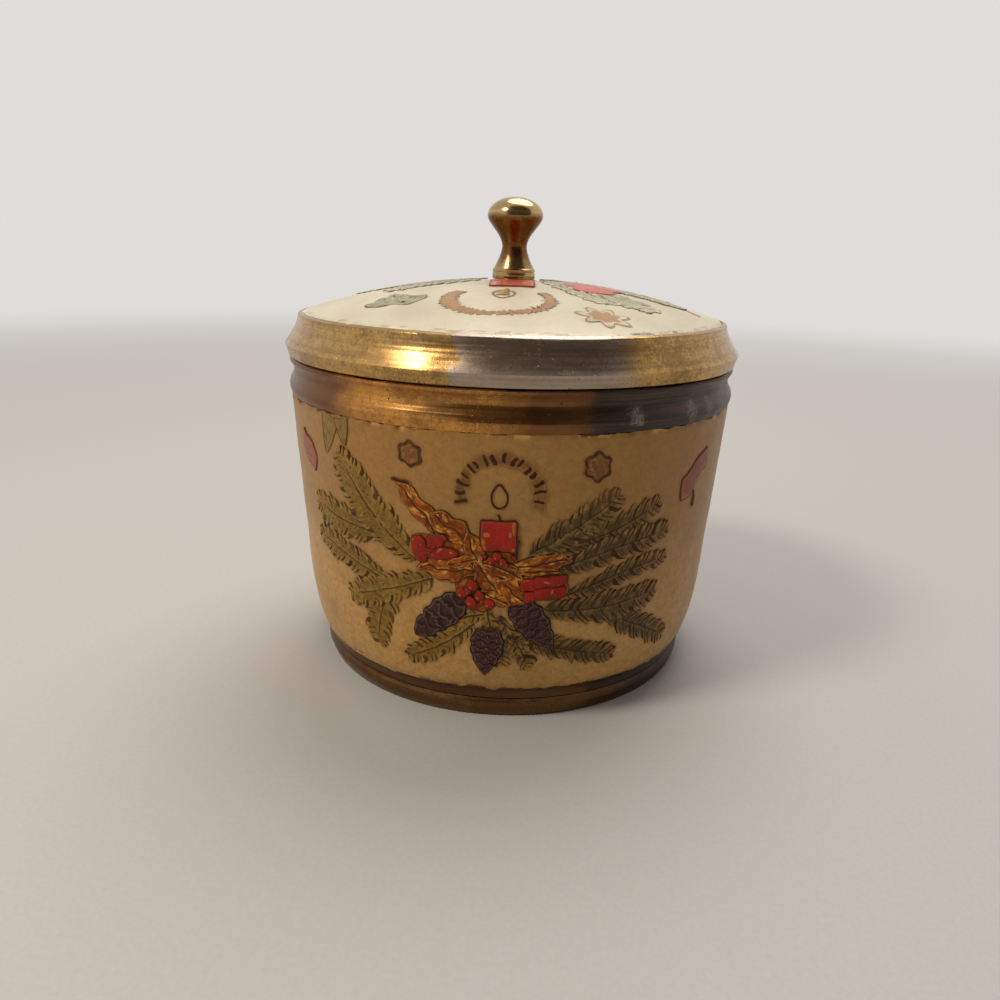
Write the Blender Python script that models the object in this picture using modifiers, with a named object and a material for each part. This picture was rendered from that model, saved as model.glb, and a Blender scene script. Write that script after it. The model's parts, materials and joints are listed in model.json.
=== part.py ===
"""Cloisonne canister: a spun brass pot with an enamelled wall, under a domed brass lid that lifts off.

The table is z = 0, the pot's axis is x = y = 0, and the front of the ornament faces -Y. Angles on the
wall are in degrees from the front, positive towards +X.
"""

import math

import bmesh
import bpy
from mathutils import Matrix, Vector

MM = 0.001

# Clearance between touching pieces, and the run of a cutter past what it cuts
GAP = 0.3 * MM
OVERRUN = 4.0 * MM
MERGE_DISTANCE = 0.01 * MM

# Facets of the large turned pieces, the knob and the small hardware
ROUND_SEGMENTS = 48
KNOB_SEGMENTS = 24
SCREW_SEGMENTS = 16

# Enamel and the brass behind it
ENAMEL_THICKNESS = 0.6 * MM
BACKING_THICKNESS = 0.9 * MM
RECESS_DEPTH = ENAMEL_THICKNESS + GAP
SHEET_THICKNESS = RECESS_DEPTH + BACKING_THICKNESS

# Foot ring and floor
FOOT_RADIUS = 54.1 * MM
FOOT_TREAD_WIDTH = 3.6 * MM
FOOT_RING_HEIGHT = 5.2 * MM
FOOT_BEAD_PROUD = 0.7 * MM
FLOOR_LEDGE_HEIGHT = 2.2 * MM
FLOOR_THICKNESS = 1.2 * MM

# Wall of the pot, from the enamel's lower edge to the rim
ENAMEL_FOOT_HEIGHT = 9.3 * MM
ENAMEL_BAND_HEIGHT = 67.0 * MM
FOOT_COVE_DEPTH = 0.5 * MM
MOUTH_RADIUS = 62.5 * MM
BAND_INSET = 0.2 * MM
ROLL_HEIGHT = 4.2 * MM
ROLL_PROUD = 0.3 * MM
WAIST_HEIGHT = 4.6 * MM
WAIST_DEPTH = 0.9 * MM
WAIST_THICKNESS = 1.0 * MM
RIM_HEIGHT = 1.2 * MM
RIM_ROUND = 0.3 * MM

# Lid
LIP_OVERHANG = 0.2 * MM
CREASE_PROUD = 0.8 * MM
LIP_RISE = 3.0 * MM
SLOPE_RUN = 2.9 * MM
SLOPE_RISE = 4.7 * MM
SHOULDER_RUN = 0.8 * MM
SHOULDER_RISE = 3.0 * MM
DOME_RISE = 9.6 * MM
DOME_LEDGE_WIDTH = 1.3 * MM
COLLAR_CLEARANCE = 0.4 * MM
COLLAR_THICKNESS = 1.0 * MM
COLLAR_LIFT = 2.0 * MM
COLLAR_ROUND = 0.3 * MM

# Knob, its screw and washer
KNOB_HEIGHT = 21.8 * MM
KNOB_RADIUS = 7.7 * MM
KNOB_WIDEST_HEIGHT = 16.8 * MM
KNOB_NECK_RADIUS = 3.45 * MM
KNOB_NECK_HEIGHT = 8.7 * MM
KNOB_RING_RADIUS = 6.0 * MM
KNOB_RING_HEIGHT = 3.0 * MM
KNOB_RING_CHAMFER = 0.5 * MM
KNOB_BORE_DEPTH = 7.6 * MM
KNOB_SEAT_MARGIN = 0.35 * MM
SCREW_RADIUS = 1.5 * MM
SCREW_HEAD_RADIUS = 2.9 * MM
SCREW_HEAD_HEIGHT = 1.9 * MM
SCREW_SLOT_WIDTH = 0.8 * MM
SCREW_SLOT_DEPTH = 0.9 * MM
SCREW_END_SPACE = 0.6 * MM
SCREW_CHAMFER = 0.6 * MM
WASHER_RADIUS = 4.2 * MM
WASHER_THICKNESS = 0.6 * MM

# Widening of the wall from the foot to the enamel's top: shares of that height and of that widening
BELLY_SHARES = (
    (0.0, 0.0),
    (0.07, 0.045),
    (0.12, 0.22),
    (0.17, 0.37),
    (0.25, 0.52),
    (0.5, 0.70),
    (0.75, 0.86),
    (1.0, 1.0),
)

# Places and sizes that follow from the ones above
BAND_RADIUS = MOUTH_RADIUS - BAND_INSET
ENAMEL_TOP_HEIGHT = ENAMEL_FOOT_HEIGHT + ENAMEL_BAND_HEIGHT
RECESS_TOP_HEIGHT = ENAMEL_TOP_HEIGHT + GAP
ROLL_TOP_HEIGHT = RECESS_TOP_HEIGHT + ROLL_HEIGHT
WAIST_TOP_HEIGHT = ROLL_TOP_HEIGHT + WAIST_HEIGHT
BODY_HEIGHT = WAIST_TOP_HEIGHT + RIM_HEIGHT
BORE_RADIUS = MOUTH_RADIUS - WAIST_DEPTH - WAIST_THICKNESS
WALL_FOOT_HEIGHT = FOOT_RING_HEIGHT + GAP

LIP_RADIUS = MOUTH_RADIUS + LIP_OVERHANG
CREASE_RADIUS = LIP_RADIUS + CREASE_PROUD
SHOULDER_RADIUS = CREASE_RADIUS - SLOPE_RUN
DOME_RADIUS = SHOULDER_RADIUS - SHOULDER_RUN
LIP_HEIGHT = BODY_HEIGHT + GAP
CREASE_HEIGHT = LIP_HEIGHT + LIP_RISE
SHOULDER_HEIGHT = CREASE_HEIGHT + SLOPE_RISE
DOME_FOOT_HEIGHT = SHOULDER_HEIGHT + SHOULDER_RISE
DOME_TOP_HEIGHT = DOME_FOOT_HEIGHT + DOME_RISE
DOME_CURVE_RADIUS = (DOME_RADIUS**2 + DOME_RISE**2) / (2 * DOME_RISE)
DOME_CENTRE_HEIGHT = DOME_TOP_HEIGHT - DOME_CURVE_RADIUS
KNOB_SEAT_RADIUS = KNOB_RING_RADIUS + KNOB_SEAT_MARGIN
LID_ENAMEL_INNER_RADIUS = KNOB_SEAT_RADIUS + GAP
LID_ENAMEL_RADIUS = DOME_RADIUS - DOME_LEDGE_WIDTH - GAP
SCREW_HOLE_RADIUS = SCREW_RADIUS + GAP

# Colours: linear red, green and blue, with roughness and metallic value
BRASS = ((0.42, 0.26, 0.10), 0.35, 1.0)
DARK_BRASS = ((0.20, 0.12, 0.05), 0.45, 1.0)
CREAM = ((0.62, 0.48, 0.28), 0.25, 0.0)
RED = ((0.36, 0.03, 0.015), 0.25, 0.0)
AMBER = ((0.34, 0.12, 0.02), 0.3, 0.0)
FIR_GREEN = ((0.10, 0.10, 0.035), 0.4, 0.0)
CONE_BROWN = ((0.05, 0.03, 0.03), 0.4, 0.0)
PINK = ((0.42, 0.16, 0.12), 0.3, 0.0)
OLIVE = ((0.20, 0.16, 0.05), 0.35, 0.0)

# Coloured cells of the wall, those on top first. A cell is a name, a colour and its shapes. A shape runs
# from one place to another: a kind, the two places and its width. A place is a way round the wall from the
# middle of the picture, to the right, and a way up from the enamel's lower edge. All are shares of the
# enamel band's height.
WALL_CELL_SHARES = (
    ("candle", RED, (("candle", (-0.01, 0.575), (-0.01, 0.697), 0.132),)),
    (
        "berries",
        RED,
        (
            ("disc", (-0.102, 0.432), (-0.102, 0.48), 0.060),
            ("disc", (-0.14, 0.410), (-0.14, 0.46), 0.056),
            ("disc", (-0.093, 0.385), (-0.093, 0.43), 0.056),
            ("disc", (-0.065, 0.410), (-0.065, 0.46), 0.056),
            ("disc", (-0.039, 0.385), (-0.039, 0.43), 0.050),
        ),
    ),
    ("ribbon_left", RED, (("ribbon", (-0.159, 0.550), (-0.334, 0.565), 0.085),)),
    ("ribbon_right", RED, (("ribbon", (0.081, 0.440), (0.24, 0.440), 0.078),)),
    ("amber_leaf_left", AMBER, (("holly", (-0.094, 0.495), (-0.315, 0.492), 0.075),)),
    ("amber_leaf_upper", AMBER, (("holly", (-0.114, 0.610), (-0.398, 0.812), 0.085),)),
    ("amber_leaf_right", AMBER, (("holly", (0.049, 0.545), (0.258, 0.535), 0.065),)),
    ("amber_leaf_centre", AMBER, (("holly", (-0.08, 0.535), (0.063, 0.410), 0.095),)),
    ("cone_left", CONE_BROWN, (("cone", (-0.133, 0.375), (-0.328, 0.215), 0.125),)),
    ("cone_centre", CONE_BROWN, (("cone", (-0.042, 0.285), (-0.052, 0.080), 0.125),)),
    ("cone_right", CONE_BROWN, (("cone", (0.052, 0.375), (0.221, 0.210), 0.130),)),
    (
        "upper_left_boughs",
        FIR_GREEN,
        (
            ("bough", (-0.333, 0.530), (-0.662, 0.880), 0.135),
            ("bough", (-0.438, 0.600), (-0.893, 0.630), 0.115),
        ),
    ),
    (
        "lower_left_boughs",
        FIR_GREEN,
        (
            ("bough", (-0.252, 0.450), (-0.917, 0.475), 0.085),
            ("bough", (-0.39, 0.420), (-0.678, 0.285), 0.095),
            ("bough", (-0.414, 0.420), (-0.529, 0.115), 0.105),
        ),
    ),
    (
        "upper_right_boughs",
        FIR_GREEN,
        (
            ("bough", (0.114, 0.585), (0.448, 0.785), 0.110),
            ("bough", (0.13, 0.585), (0.636, 0.718), 0.095),
            ("bough", (0.211, 0.530), (0.724, 0.595), 0.080),
        ),
    ),
    (
        "lower_right_boughs",
        FIR_GREEN,
        (
            ("bough", (0.26, 0.400), (0.74, 0.480), 0.075),
            ("bough", (0.179, 0.360), (0.698, 0.350), 0.110),
            ("bough", (0.39, 0.330), (0.803, 0.125), 0.085),
        ),
    ),
    ("low_bough_left", FIR_GREEN, (("bough", (-0.097, 0.270), (-0.393, 0.085), 0.075),)),
    ("low_bough_right", FIR_GREEN, (("bough", (0.073, 0.230), (0.519, 0.112), 0.095),)),
    ("star_left", AMBER, (("star", (-0.328, 0.913), (-0.328, 0.960), 0.090),)),
    ("star_right", AMBER, (("star", (0.336, 0.890), (0.336, 0.945), 0.105),)),
    ("pink_ribbon_right", PINK, (("ribbon", (0.727, 0.760), (0.948, 0.850), 0.100),)),
    ("pink_ribbon_left", PINK, (("ribbon", (-0.824, 0.790), (-0.98, 0.855), 0.085),)),
    ("olive_leaf", OLIVE, (("holly", (-0.674, 0.975), (-0.771, 0.840), 0.110),)),
)

# The picture stands on the wall twice: its place as a share of the way round, the end of its nodes' names
# and the cells it leaves out
WALL_PICTURE_SHARES = (
    (0.0, "", ()),
    (0.5, "_back", ("olive_leaf", "pink_ribbon_left", "berries")),
)

# Coloured cells of the lid, in the same form. A place is a share of the lid enamel's radius towards +X and
# towards +Y, and a width is a share of that radius.
LID_CELL_SHARES = (
    ("lid_candle", RED, (("candle", (0.0, 0.0), (-0.005, -0.335), 0.198),)),
    ("lid_glow", AMBER, (("glow", (-0.035, -0.33), (-0.035, -0.84), 0.50),)),
    ("lid_ribbon", RED, (("ribbon", (0.22, -0.06), (0.50, -0.13), 0.15),)),
    ("lid_star", AMBER, (("star", (0.385, -0.73), (0.42, -0.83), 0.21),)),
    ("lid_leaf", OLIVE, (("holly", (-0.40, -0.42), (-0.62, -0.54), 0.21),)),
    ("lid_cone", CONE_BROWN, (("cone", (0.0, 0.18), (0.0, 0.56), 0.22),)),
    (
        "lid_boughs_right",
        FIR_GREEN,
        (
            ("bough", (0.15, -0.02), (0.44, -0.57), 0.19),
            ("bough", (0.15, 0.02), (0.64, -0.56), 0.19),
            ("bough", (0.15, 0.06), (0.85, -0.20), 0.17),
            ("bough", (0.15, 0.10), (0.86, 0.26), 0.17),
            ("bough", (0.15, 0.14), (0.52, 0.72), 0.17),
        ),
    ),
    (
        "lid_boughs_left",
        FIR_GREEN,
        (
            ("bough", (-0.16, -0.02), (-0.60, -0.24), 0.20),
            ("bough", (-0.16, 0.03), (-0.80, 0.05), 0.18),
            ("bough", (-0.16, 0.10), (-0.80, 0.34), 0.17),
            ("bough", (-0.16, 0.14), (-0.46, 0.76), 0.17),
        ),
    ),
)

LID_PICTURE_SHARES = (0.0, "", ())

# Outline shares: along the shape's length and across its half width
CANDLE_SHARES = ((0.0, 0.92), (0.08, 1.0), (0.90, 1.0), (0.98, 0.86), (1.0, 0.6))
RIBBON_UPPER_SHARES = ((0.0, 0.62), (0.12, 0.86), (0.38, 0.70), (0.66, 0.96), (0.94, 0.98))
RIBBON_LOWER_SHARES = ((1.0, -0.46), (0.84, -0.90), (0.58, -0.74), (0.30, -0.98), (0.06, -0.80))
HOLLY_SHARES = (
    (0.04, 0.30),
    (0.20, 0.90),
    (0.31, 0.64),
    (0.47, 1.0),
    (0.60, 0.66),
    (0.75, 0.84),
    (0.85, 0.40),
)
CONE_SHARES = ((0.02, 0.52), (0.16, 0.90), (0.36, 1.0), (0.58, 0.90), (0.78, 0.62), (0.93, 0.26))
STAR_WAIST_SHARE = 0.74
STAR_POINTS = 6
DISC_POINTS = 8
GLOW_POINTS = 9
GLOW_BAND_SHARE = 0.26
GLOW_LEG_SHARE = 0.40
NEEDLE_PITCH_SHARE = 0.069
NEEDLE_NOTCH_SHARE = 0.72
NEEDLE_START_SHARE = 0.55
NEEDLE_TIP_SHARE = 0.97
NEEDLE_NOTCH_PLACE_SHARE = 0.18
NEEDLE_TIP_PLACE_SHARE = 0.85
BOUGH_ROOT_SHARE = 0.45
BOUGH_TIP_SHARE = 0.28
BOUGH_SWELL_SHARE = 0.42
BOUGH_WINDOW_SHARES = (0.0, 0.12, 0.28, 0.42, 0.6, 0.8, 1.0)
MITRE_LIMIT = 1.6


def clear_scene():
    for old in list(bpy.data.objects):
        bpy.data.objects.remove(old, do_unlink=True)


def new_collection(name):
    collection = bpy.data.collections.new(name)
    bpy.context.scene.collection.children.link(collection)
    return collection


def finish_material(name, finish):
    colour, roughness, metallic = finish
    material = bpy.data.materials.new(name)
    material.use_nodes = True
    surface = material.node_tree.nodes["Principled BSDF"]
    surface.inputs["Base Color"].default_value = (*colour, 1.0)
    surface.inputs["Roughness"].default_value = roughness
    surface.inputs["Metallic"].default_value = metallic
    material.diffuse_color = (*colour, 1.0)
    return material


def add_piece(name, mesh, finish, collection, parent=None):
    piece = bpy.data.objects.new(name, mesh)
    collection.objects.link(piece)
    piece.parent = parent
    mesh.materials.clear()
    mesh.materials.append(finish_material(name, finish))
    return piece


def hide_as_guide(guide):
    guide.hide_render = True
    guide.display_type = "WIRE"


def turned(name, profile, finish, collection, parent=None, closed=True, segments=ROUND_SEGMENTS):
    """A turned solid. The profile runs down its outer side and, if closed, back up its inner side."""
    mesh = bpy.data.meshes.new(name)
    points = [(radius, 0.0, height) for radius, height in profile]
    edges = [(i, i + 1) for i in range(len(points) - 1)]
    if closed:
        edges.append((len(points) - 1, 0))
    mesh.from_pydata(points, edges, [])
    piece = add_piece(name, mesh, finish, collection, parent)
    screw = piece.modifiers.new("Turn", "SCREW")
    screw.steps = segments
    screw.render_steps = segments
    screw.use_merge_vertices = True
    screw.merge_threshold = MERGE_DISTANCE
    screw.use_smooth_shade = True
    return piece


def between(low, high, share):
    return low + (high - low) * share


def ease(share):
    return (1.0 - math.cos(math.pi * share)) / 2.0


# Wall of the pot


def belly_radius(height):
    """Outer radius of the wall at a height, on straight runs between the rows of BELLY_SHARES."""
    share = min(max(height / ENAMEL_TOP_HEIGHT, 0.0), 1.0)
    for (low, low_swell), (high, high_swell) in zip(BELLY_SHARES, BELLY_SHARES[1:]):
        if share <= high:
            swell = between(low_swell, high_swell, (share - low) / (high - low))
            return between(FOOT_RADIUS, BAND_RADIUS, swell)
    return BAND_RADIUS


def belly_rows(top, bottom, inset):
    """Profile points down the wall between two heights, set in from its outer face."""
    heights = [share * ENAMEL_TOP_HEIGHT for share, _ in reversed(BELLY_SHARES)]
    heights = [top] + [h for h in heights if bottom + GAP < h < top - GAP] + [bottom]
    return [(belly_radius(h) - inset, h) for h in heights]


def neck_profile():
    """The rim bead, the waist and the roll, from the top down."""
    rows = [
        (MOUTH_RADIUS - RIM_ROUND, BODY_HEIGHT),
        (MOUTH_RADIUS, BODY_HEIGHT - RIM_ROUND),
        (MOUTH_RADIUS, WAIST_TOP_HEIGHT),
    ]
    for share in (0.25, 0.5, 0.75):
        radius = between(MOUTH_RADIUS, BAND_RADIUS, share) - WAIST_DEPTH * math.sin(math.pi * share)
        rows.append((radius, between(WAIST_TOP_HEIGHT, ROLL_TOP_HEIGHT, share)))
    for share in (0.0, 0.5, 1.0):
        radius = BAND_RADIUS + ROLL_PROUD * math.sin(math.pi * share)
        rows.append((radius, between(ROLL_TOP_HEIGHT, RECESS_TOP_HEIGHT, share)))
    return rows


def cove_profile():
    """The hollow between the enamel's lower edge and the foot ring, from the top down."""
    top = ENAMEL_FOOT_HEIGHT - GAP
    rows = []
    for share in (0.0, 0.55, 1.0):
        height = between(top, WALL_FOOT_HEIGHT, share)
        straight = between(belly_radius(top), belly_radius(WALL_FOOT_HEIGHT), share)
        rows.append((straight - FOOT_COVE_DEPTH * math.sin(math.pi * share), height))
    return rows


def make_body_wall(collection):
    recess = belly_rows(RECESS_TOP_HEIGHT, ENAMEL_FOOT_HEIGHT - GAP, RECESS_DEPTH)
    inside = belly_rows(ENAMEL_TOP_HEIGHT, WALL_FOOT_HEIGHT, SHEET_THICKNESS)
    bore = [(BORE_RADIUS, RECESS_TOP_HEIGHT + RIM_ROUND), (BORE_RADIUS, BODY_HEIGHT)]
    profile = neck_profile() + recess + cove_profile() + inside[::-1] + bore
    return turned("body_wall", profile, BRASS, collection)


def make_foot_ring(collection):
    top_radius = belly_radius(WALL_FOOT_HEIGHT)
    step_radius = top_radius - SHEET_THICKNESS
    inner_radius = FOOT_RADIUS - FOOT_TREAD_WIDTH
    profile = []
    for share in (0.0, 0.3, 0.7, 1.0):
        radius = between(top_radius, FOOT_RADIUS, share) + FOOT_BEAD_PROUD * math.sin(math.pi * share)
        profile.append((radius, between(FOOT_RING_HEIGHT, 0.0, share)))
    profile += [
        (inner_radius, 0.0),
        (inner_radius, FLOOR_LEDGE_HEIGHT),
        (step_radius, FLOOR_LEDGE_HEIGHT),
        (step_radius, FOOT_RING_HEIGHT),
    ]
    return turned("foot_ring", profile, DARK_BRASS, collection)


def make_base_disc(collection):
    radius = belly_radius(WALL_FOOT_HEIGHT) - SHEET_THICKNESS - GAP
    underside = FLOOR_LEDGE_HEIGHT + GAP
    profile = [
        (0.0, underside + FLOOR_THICKNESS),
        (radius, underside + FLOOR_THICKNESS),
        (radius, underside),
        (0.0, underside),
    ]
    return turned("base_disc", profile, DARK_BRASS, collection, closed=False)


def band_profile():
    """Section of the wall's enamel, flush with the brass above and below it."""
    outer = belly_rows(ENAMEL_TOP_HEIGHT, ENAMEL_FOOT_HEIGHT, 0.0)
    inner = belly_rows(ENAMEL_TOP_HEIGHT, ENAMEL_FOOT_HEIGHT, ENAMEL_THICKNESS)
    return outer + inner[::-1]


# Lid


def dome_height(radius, inset):
    """Height of the dome at a radius, on a sphere set in from its outer face."""
    return DOME_CENTRE_HEIGHT + math.sqrt((DOME_CURVE_RADIUS - inset) ** 2 - radius**2)


def dome_rows(inner, outer, inset):
    """Profile points out along the dome between two radii."""
    radii = [between(inner, outer, share) for share in (0.0, 0.35, 0.7, 1.0)]
    return [(radius, dome_height(radius, inset)) for radius in radii]


def make_lid_shell(collection, parent):
    recess_inner = KNOB_SEAT_RADIUS
    recess_outer = LID_ENAMEL_RADIUS + GAP
    dome_inner_radius = DOME_RADIUS - SHEET_THICKNESS
    seat = [
        (SCREW_HOLE_RADIUS, dome_height(SCREW_HOLE_RADIUS, 0.0)),
        (recess_inner, dome_height(recess_inner, 0.0)),
    ]
    skirt = [
        (recess_outer, dome_height(recess_outer, 0.0)),
        (DOME_RADIUS, DOME_FOOT_HEIGHT),
        (SHOULDER_RADIUS, SHOULDER_HEIGHT),
        (CREASE_RADIUS, CREASE_HEIGHT),
        (LIP_RADIUS, LIP_HEIGHT),
        (LIP_RADIUS - SHEET_THICKNESS, LIP_HEIGHT),
        (CREASE_RADIUS - SHEET_THICKNESS, CREASE_HEIGHT),
        (SHOULDER_RADIUS - SHEET_THICKNESS, SHOULDER_HEIGHT),
    ]
    recess = dome_rows(recess_inner, recess_outer, RECESS_DEPTH)
    inside = dome_rows(SCREW_HOLE_RADIUS, dome_inner_radius, SHEET_THICKNESS)
    return turned("lid_shell", seat + recess + skirt + inside[::-1], BRASS, collection, parent)


def make_lid_collar(collection, parent):
    """The ring inside the lid: it hangs from the skirt's inner slope and slides in the pot's bore."""
    outer = BORE_RADIUS - COLLAR_CLEARANCE
    inner = outer - COLLAR_THICKNESS
    bottom = RECESS_TOP_HEIGHT + COLLAR_LIFT
    seat_share = (CREASE_RADIUS - SHEET_THICKNESS - outer - GAP) / SLOPE_RUN
    top = between(CREASE_HEIGHT, SHOULDER_HEIGHT, seat_share)
    profile = [
        (outer - COLLAR_ROUND, top),
        (outer, top - COLLAR_ROUND),
        (outer, bottom + COLLAR_ROUND),
        (outer - COLLAR_ROUND, bottom),
        (inner, bottom),
        (inner, top),
    ]
    return turned("lid_collar", profile, DARK_BRASS, collection, parent)


def dome_enamel_profile():
    outer = dome_rows(LID_ENAMEL_INNER_RADIUS, LID_ENAMEL_RADIUS, 0.0)
    inner = dome_rows(LID_ENAMEL_INNER_RADIUS, LID_ENAMEL_RADIUS, ENAMEL_THICKNESS)
    return outer + inner[::-1]


def make_knob(collection, parent):
    foot = DOME_TOP_HEIGHT + GAP
    top = foot + KNOB_HEIGHT
    widest = foot + KNOB_WIDEST_HEIGHT
    neck = foot + KNOB_NECK_HEIGHT
    ring_top = foot + KNOB_RING_HEIGHT
    ring_top_radius = KNOB_RING_RADIUS - KNOB_RING_CHAMFER
    profile = [(0.0, top)]
    for degrees in (20, 40, 60, 78):
        turn = math.radians(degrees)
        profile.append((KNOB_RADIUS * math.sin(turn), widest + (top - widest) * math.cos(turn)))
    for share in (0.0, 0.2, 0.4, 0.6, 0.8):
        profile.append((between(KNOB_RADIUS, KNOB_NECK_RADIUS, ease(share)), between(widest, neck, share)))
    for share in (0.0, 0.4, 0.75, 1.0):
        radius = between(KNOB_NECK_RADIUS, ring_top_radius, share**2)
        profile.append((radius, between(neck, ring_top, share)))
    profile += [
        (KNOB_RING_RADIUS, ring_top - KNOB_RING_CHAMFER),
        (KNOB_RING_RADIUS, foot),
        (SCREW_HOLE_RADIUS, foot),
        (SCREW_HOLE_RADIUS, foot + KNOB_BORE_DEPTH),
        (0.0, foot + KNOB_BORE_DEPTH + SCREW_RADIUS),
    ]
    return turned("knob", profile, BRASS, collection, parent, closed=False, segments=KNOB_SEGMENTS)


def make_knob_washer(collection, parent):
    top = dome_height(WASHER_RADIUS, SHEET_THICKNESS) - GAP
    profile = [
        (WASHER_RADIUS, top),
        (WASHER_RADIUS, top - WASHER_THICKNESS),
        (SCREW_HOLE_RADIUS, top - WASHER_THICKNESS),
        (SCREW_HOLE_RADIUS, top),
    ]
    return turned("knob_washer", profile, DARK_BRASS, collection, parent, segments=SCREW_SEGMENTS)


def make_knob_screw(collection, cutters, parent):
    head_top = dome_height(WASHER_RADIUS, SHEET_THICKNESS) - GAP - WASHER_THICKNESS - GAP
    head_foot = head_top - SCREW_HEAD_HEIGHT
    tip = DOME_TOP_HEIGHT + GAP + KNOB_BORE_DEPTH - SCREW_END_SPACE
    rim_height = head_foot + SCREW_CHAMFER
    profile = [
        (0.0, tip),
        (SCREW_RADIUS, tip),
        (SCREW_RADIUS, head_top),
        (SCREW_HEAD_RADIUS, head_top),
        (SCREW_HEAD_RADIUS, rim_height),
        (SCREW_HEAD_RADIUS - SCREW_CHAMFER, head_foot),
        (0.0, head_foot),
    ]
    piece = turned(
        "knob_screw", profile, DARK_BRASS, collection, parent, closed=False, segments=SCREW_SEGMENTS
    )
    bpy.ops.mesh.primitive_cube_add(size=1, location=(0, 0, head_foot))
    slot = bpy.context.object
    slot.name = "screw_slot_cutter"
    slot.scale = (2 * (SCREW_HEAD_RADIUS + OVERRUN), SCREW_SLOT_WIDTH, 2 * SCREW_SLOT_DEPTH)
    move_to_collection(slot, cutters)
    hide_as_guide(slot)
    add_boolean(piece, slot, "DIFFERENCE")
    return piece


# Coloured cells


def move_to_collection(obj, collection):
    for old in list(obj.users_collection):
        old.objects.unlink(obj)
    collection.objects.link(obj)


def add_boolean(piece, cutter, operation):
    boolean = piece.modifiers.new(operation.title(), "BOOLEAN")
    boolean.operation = operation
    boolean.solver = "EXACT"
    boolean.object = cutter
    return boolean


def mirrored(half, length, width):
    """Full outline from shares of its upper half: out along one side and back along the other."""
    upper = [(x * length, y * width / 2) for x, y in half]
    return [(0.0, 0.0)] + upper + [(length, 0.0)] + [(x, -y) for x, y in reversed(upper)]


def bough_edge_share(share):
    """Half width of a fir bough along its length: it swells from the root and narrows to the tip."""
    if share < BOUGH_SWELL_SHARE:
        return between(BOUGH_ROOT_SHARE, 1.0, math.sin(share / BOUGH_SWELL_SHARE * math.pi / 2))
    fall = (share - BOUGH_SWELL_SHARE) / (1.0 - BOUGH_SWELL_SHARE)
    return between(1.0, BOUGH_TIP_SHARE, fall**2)


def bough_half_shares(length_share):
    """Upper half of a fir bough's enamel: needle tips along its edge, with notches that deepen to its tip."""
    needles = max(3, round(length_share / NEEDLE_PITCH_SHARE))
    half = []
    for step in range(needles):
        notch_share = (step + NEEDLE_NOTCH_PLACE_SHARE) / needles
        tip_share = (step + NEEDLE_TIP_PLACE_SHARE) / needles
        depth_share = between(1.0, NEEDLE_NOTCH_SHARE, min(notch_share / NEEDLE_START_SHARE, 1.0))
        half.append((notch_share, bough_edge_share(notch_share) * NEEDLE_TIP_SHARE * depth_share))
        half.append((tip_share, bough_edge_share(tip_share) * NEEDLE_TIP_SHARE))
    return half


def bough_window_shares():
    """Upper half of a fir bough's window, a smooth edge round the needle tips."""
    return [(share, bough_edge_share(share)) for share in BOUGH_WINDOW_SHARES]


def star_outline(length, width):
    points = []
    for step in range(2 * STAR_POINTS):
        radius = width / 2 * (STAR_WAIST_SHARE if step % 2 else 1.0)
        turn = math.pi * step / STAR_POINTS
        points.append((radius * math.cos(turn), radius * math.sin(turn)))
    return points


def disc_outline(length, width):
    turns = [2 * math.pi * step / DISC_POINTS for step in range(DISC_POINTS)]
    return [(width / 2 * math.cos(turn), width / 2 * math.sin(turn)) for turn in turns]


def glow_outline(length, width):
    """A horseshoe: legs along the shape's length, and a half circle at its far end."""
    outer = width / 2
    inner = outer * (1.0 - GLOW_BAND_SHARE)
    centre = length - outer
    leg = centre - width * GLOW_LEG_SHARE
    turns = [math.pi * (0.5 - step / (GLOW_POINTS - 1)) for step in range(GLOW_POINTS)]
    outside = [(centre + outer * math.cos(turn), outer * math.sin(turn)) for turn in turns]
    inside = [(centre + inner * math.cos(turn), inner * math.sin(turn)) for turn in reversed(turns)]
    return [(leg, outer)] + outside + [(leg, -outer), (leg, -inner)] + inside + [(leg, inner)]


def ribbon_outline(length, width):
    shares = RIBBON_UPPER_SHARES + RIBBON_LOWER_SHARES
    return [(x * length, y * width / 2) for x, y in shares]


def candle_outline(length, width):
    upper = [(x * length, y * width / 2) for x, y in CANDLE_SHARES]
    return upper + [(x, -y) for x, y in reversed(upper)]


def cell_outline(kind, length, length_share, width, margin):
    """Outline of a cell's shape from (0, 0) along +X, or of its window if there is a margin."""
    if kind == "bough":
        half = bough_window_shares() if margin else bough_half_shares(length_share)
        return mirrored(half, length, width)
    if kind == "holly":
        return mirrored(HOLLY_SHARES, length, width)
    if kind == "cone":
        return mirrored(CONE_SHARES, length, width)
    makers = {
        "candle": candle_outline,
        "ribbon": ribbon_outline,
        "star": star_outline,
        "disc": disc_outline,
        "glow": glow_outline,
    }
    return makers[kind](length, width)


def signed_area(points):
    pairs = zip(points, points[1:] + points[:1])
    return sum(a[0] * b[1] - b[0] * a[1] for a, b in pairs) / 2


def grown(points, margin):
    """The outline moved out by a margin, with its corners cut back where they'd run far out."""
    side = 1.0 if signed_area(points) > 0 else -1.0
    result = []
    for before, here, after in zip(points[-1:] + points[:-1], points, points[1:] + points[:1]):
        run_in = (Vector(here) - Vector(before)).normalized()
        run_out = (Vector(after) - Vector(here)).normalized()
        normal = Vector((run_in.y + run_out.y, -run_in.x - run_out.x)) * side
        normal.normalize()
        spread = max(normal.dot(Vector((run_in.y, -run_in.x)) * side), 1.0 / MITRE_LIMIT)
        result.append(tuple(Vector(here) + normal * (margin / spread)))
    return result


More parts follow.
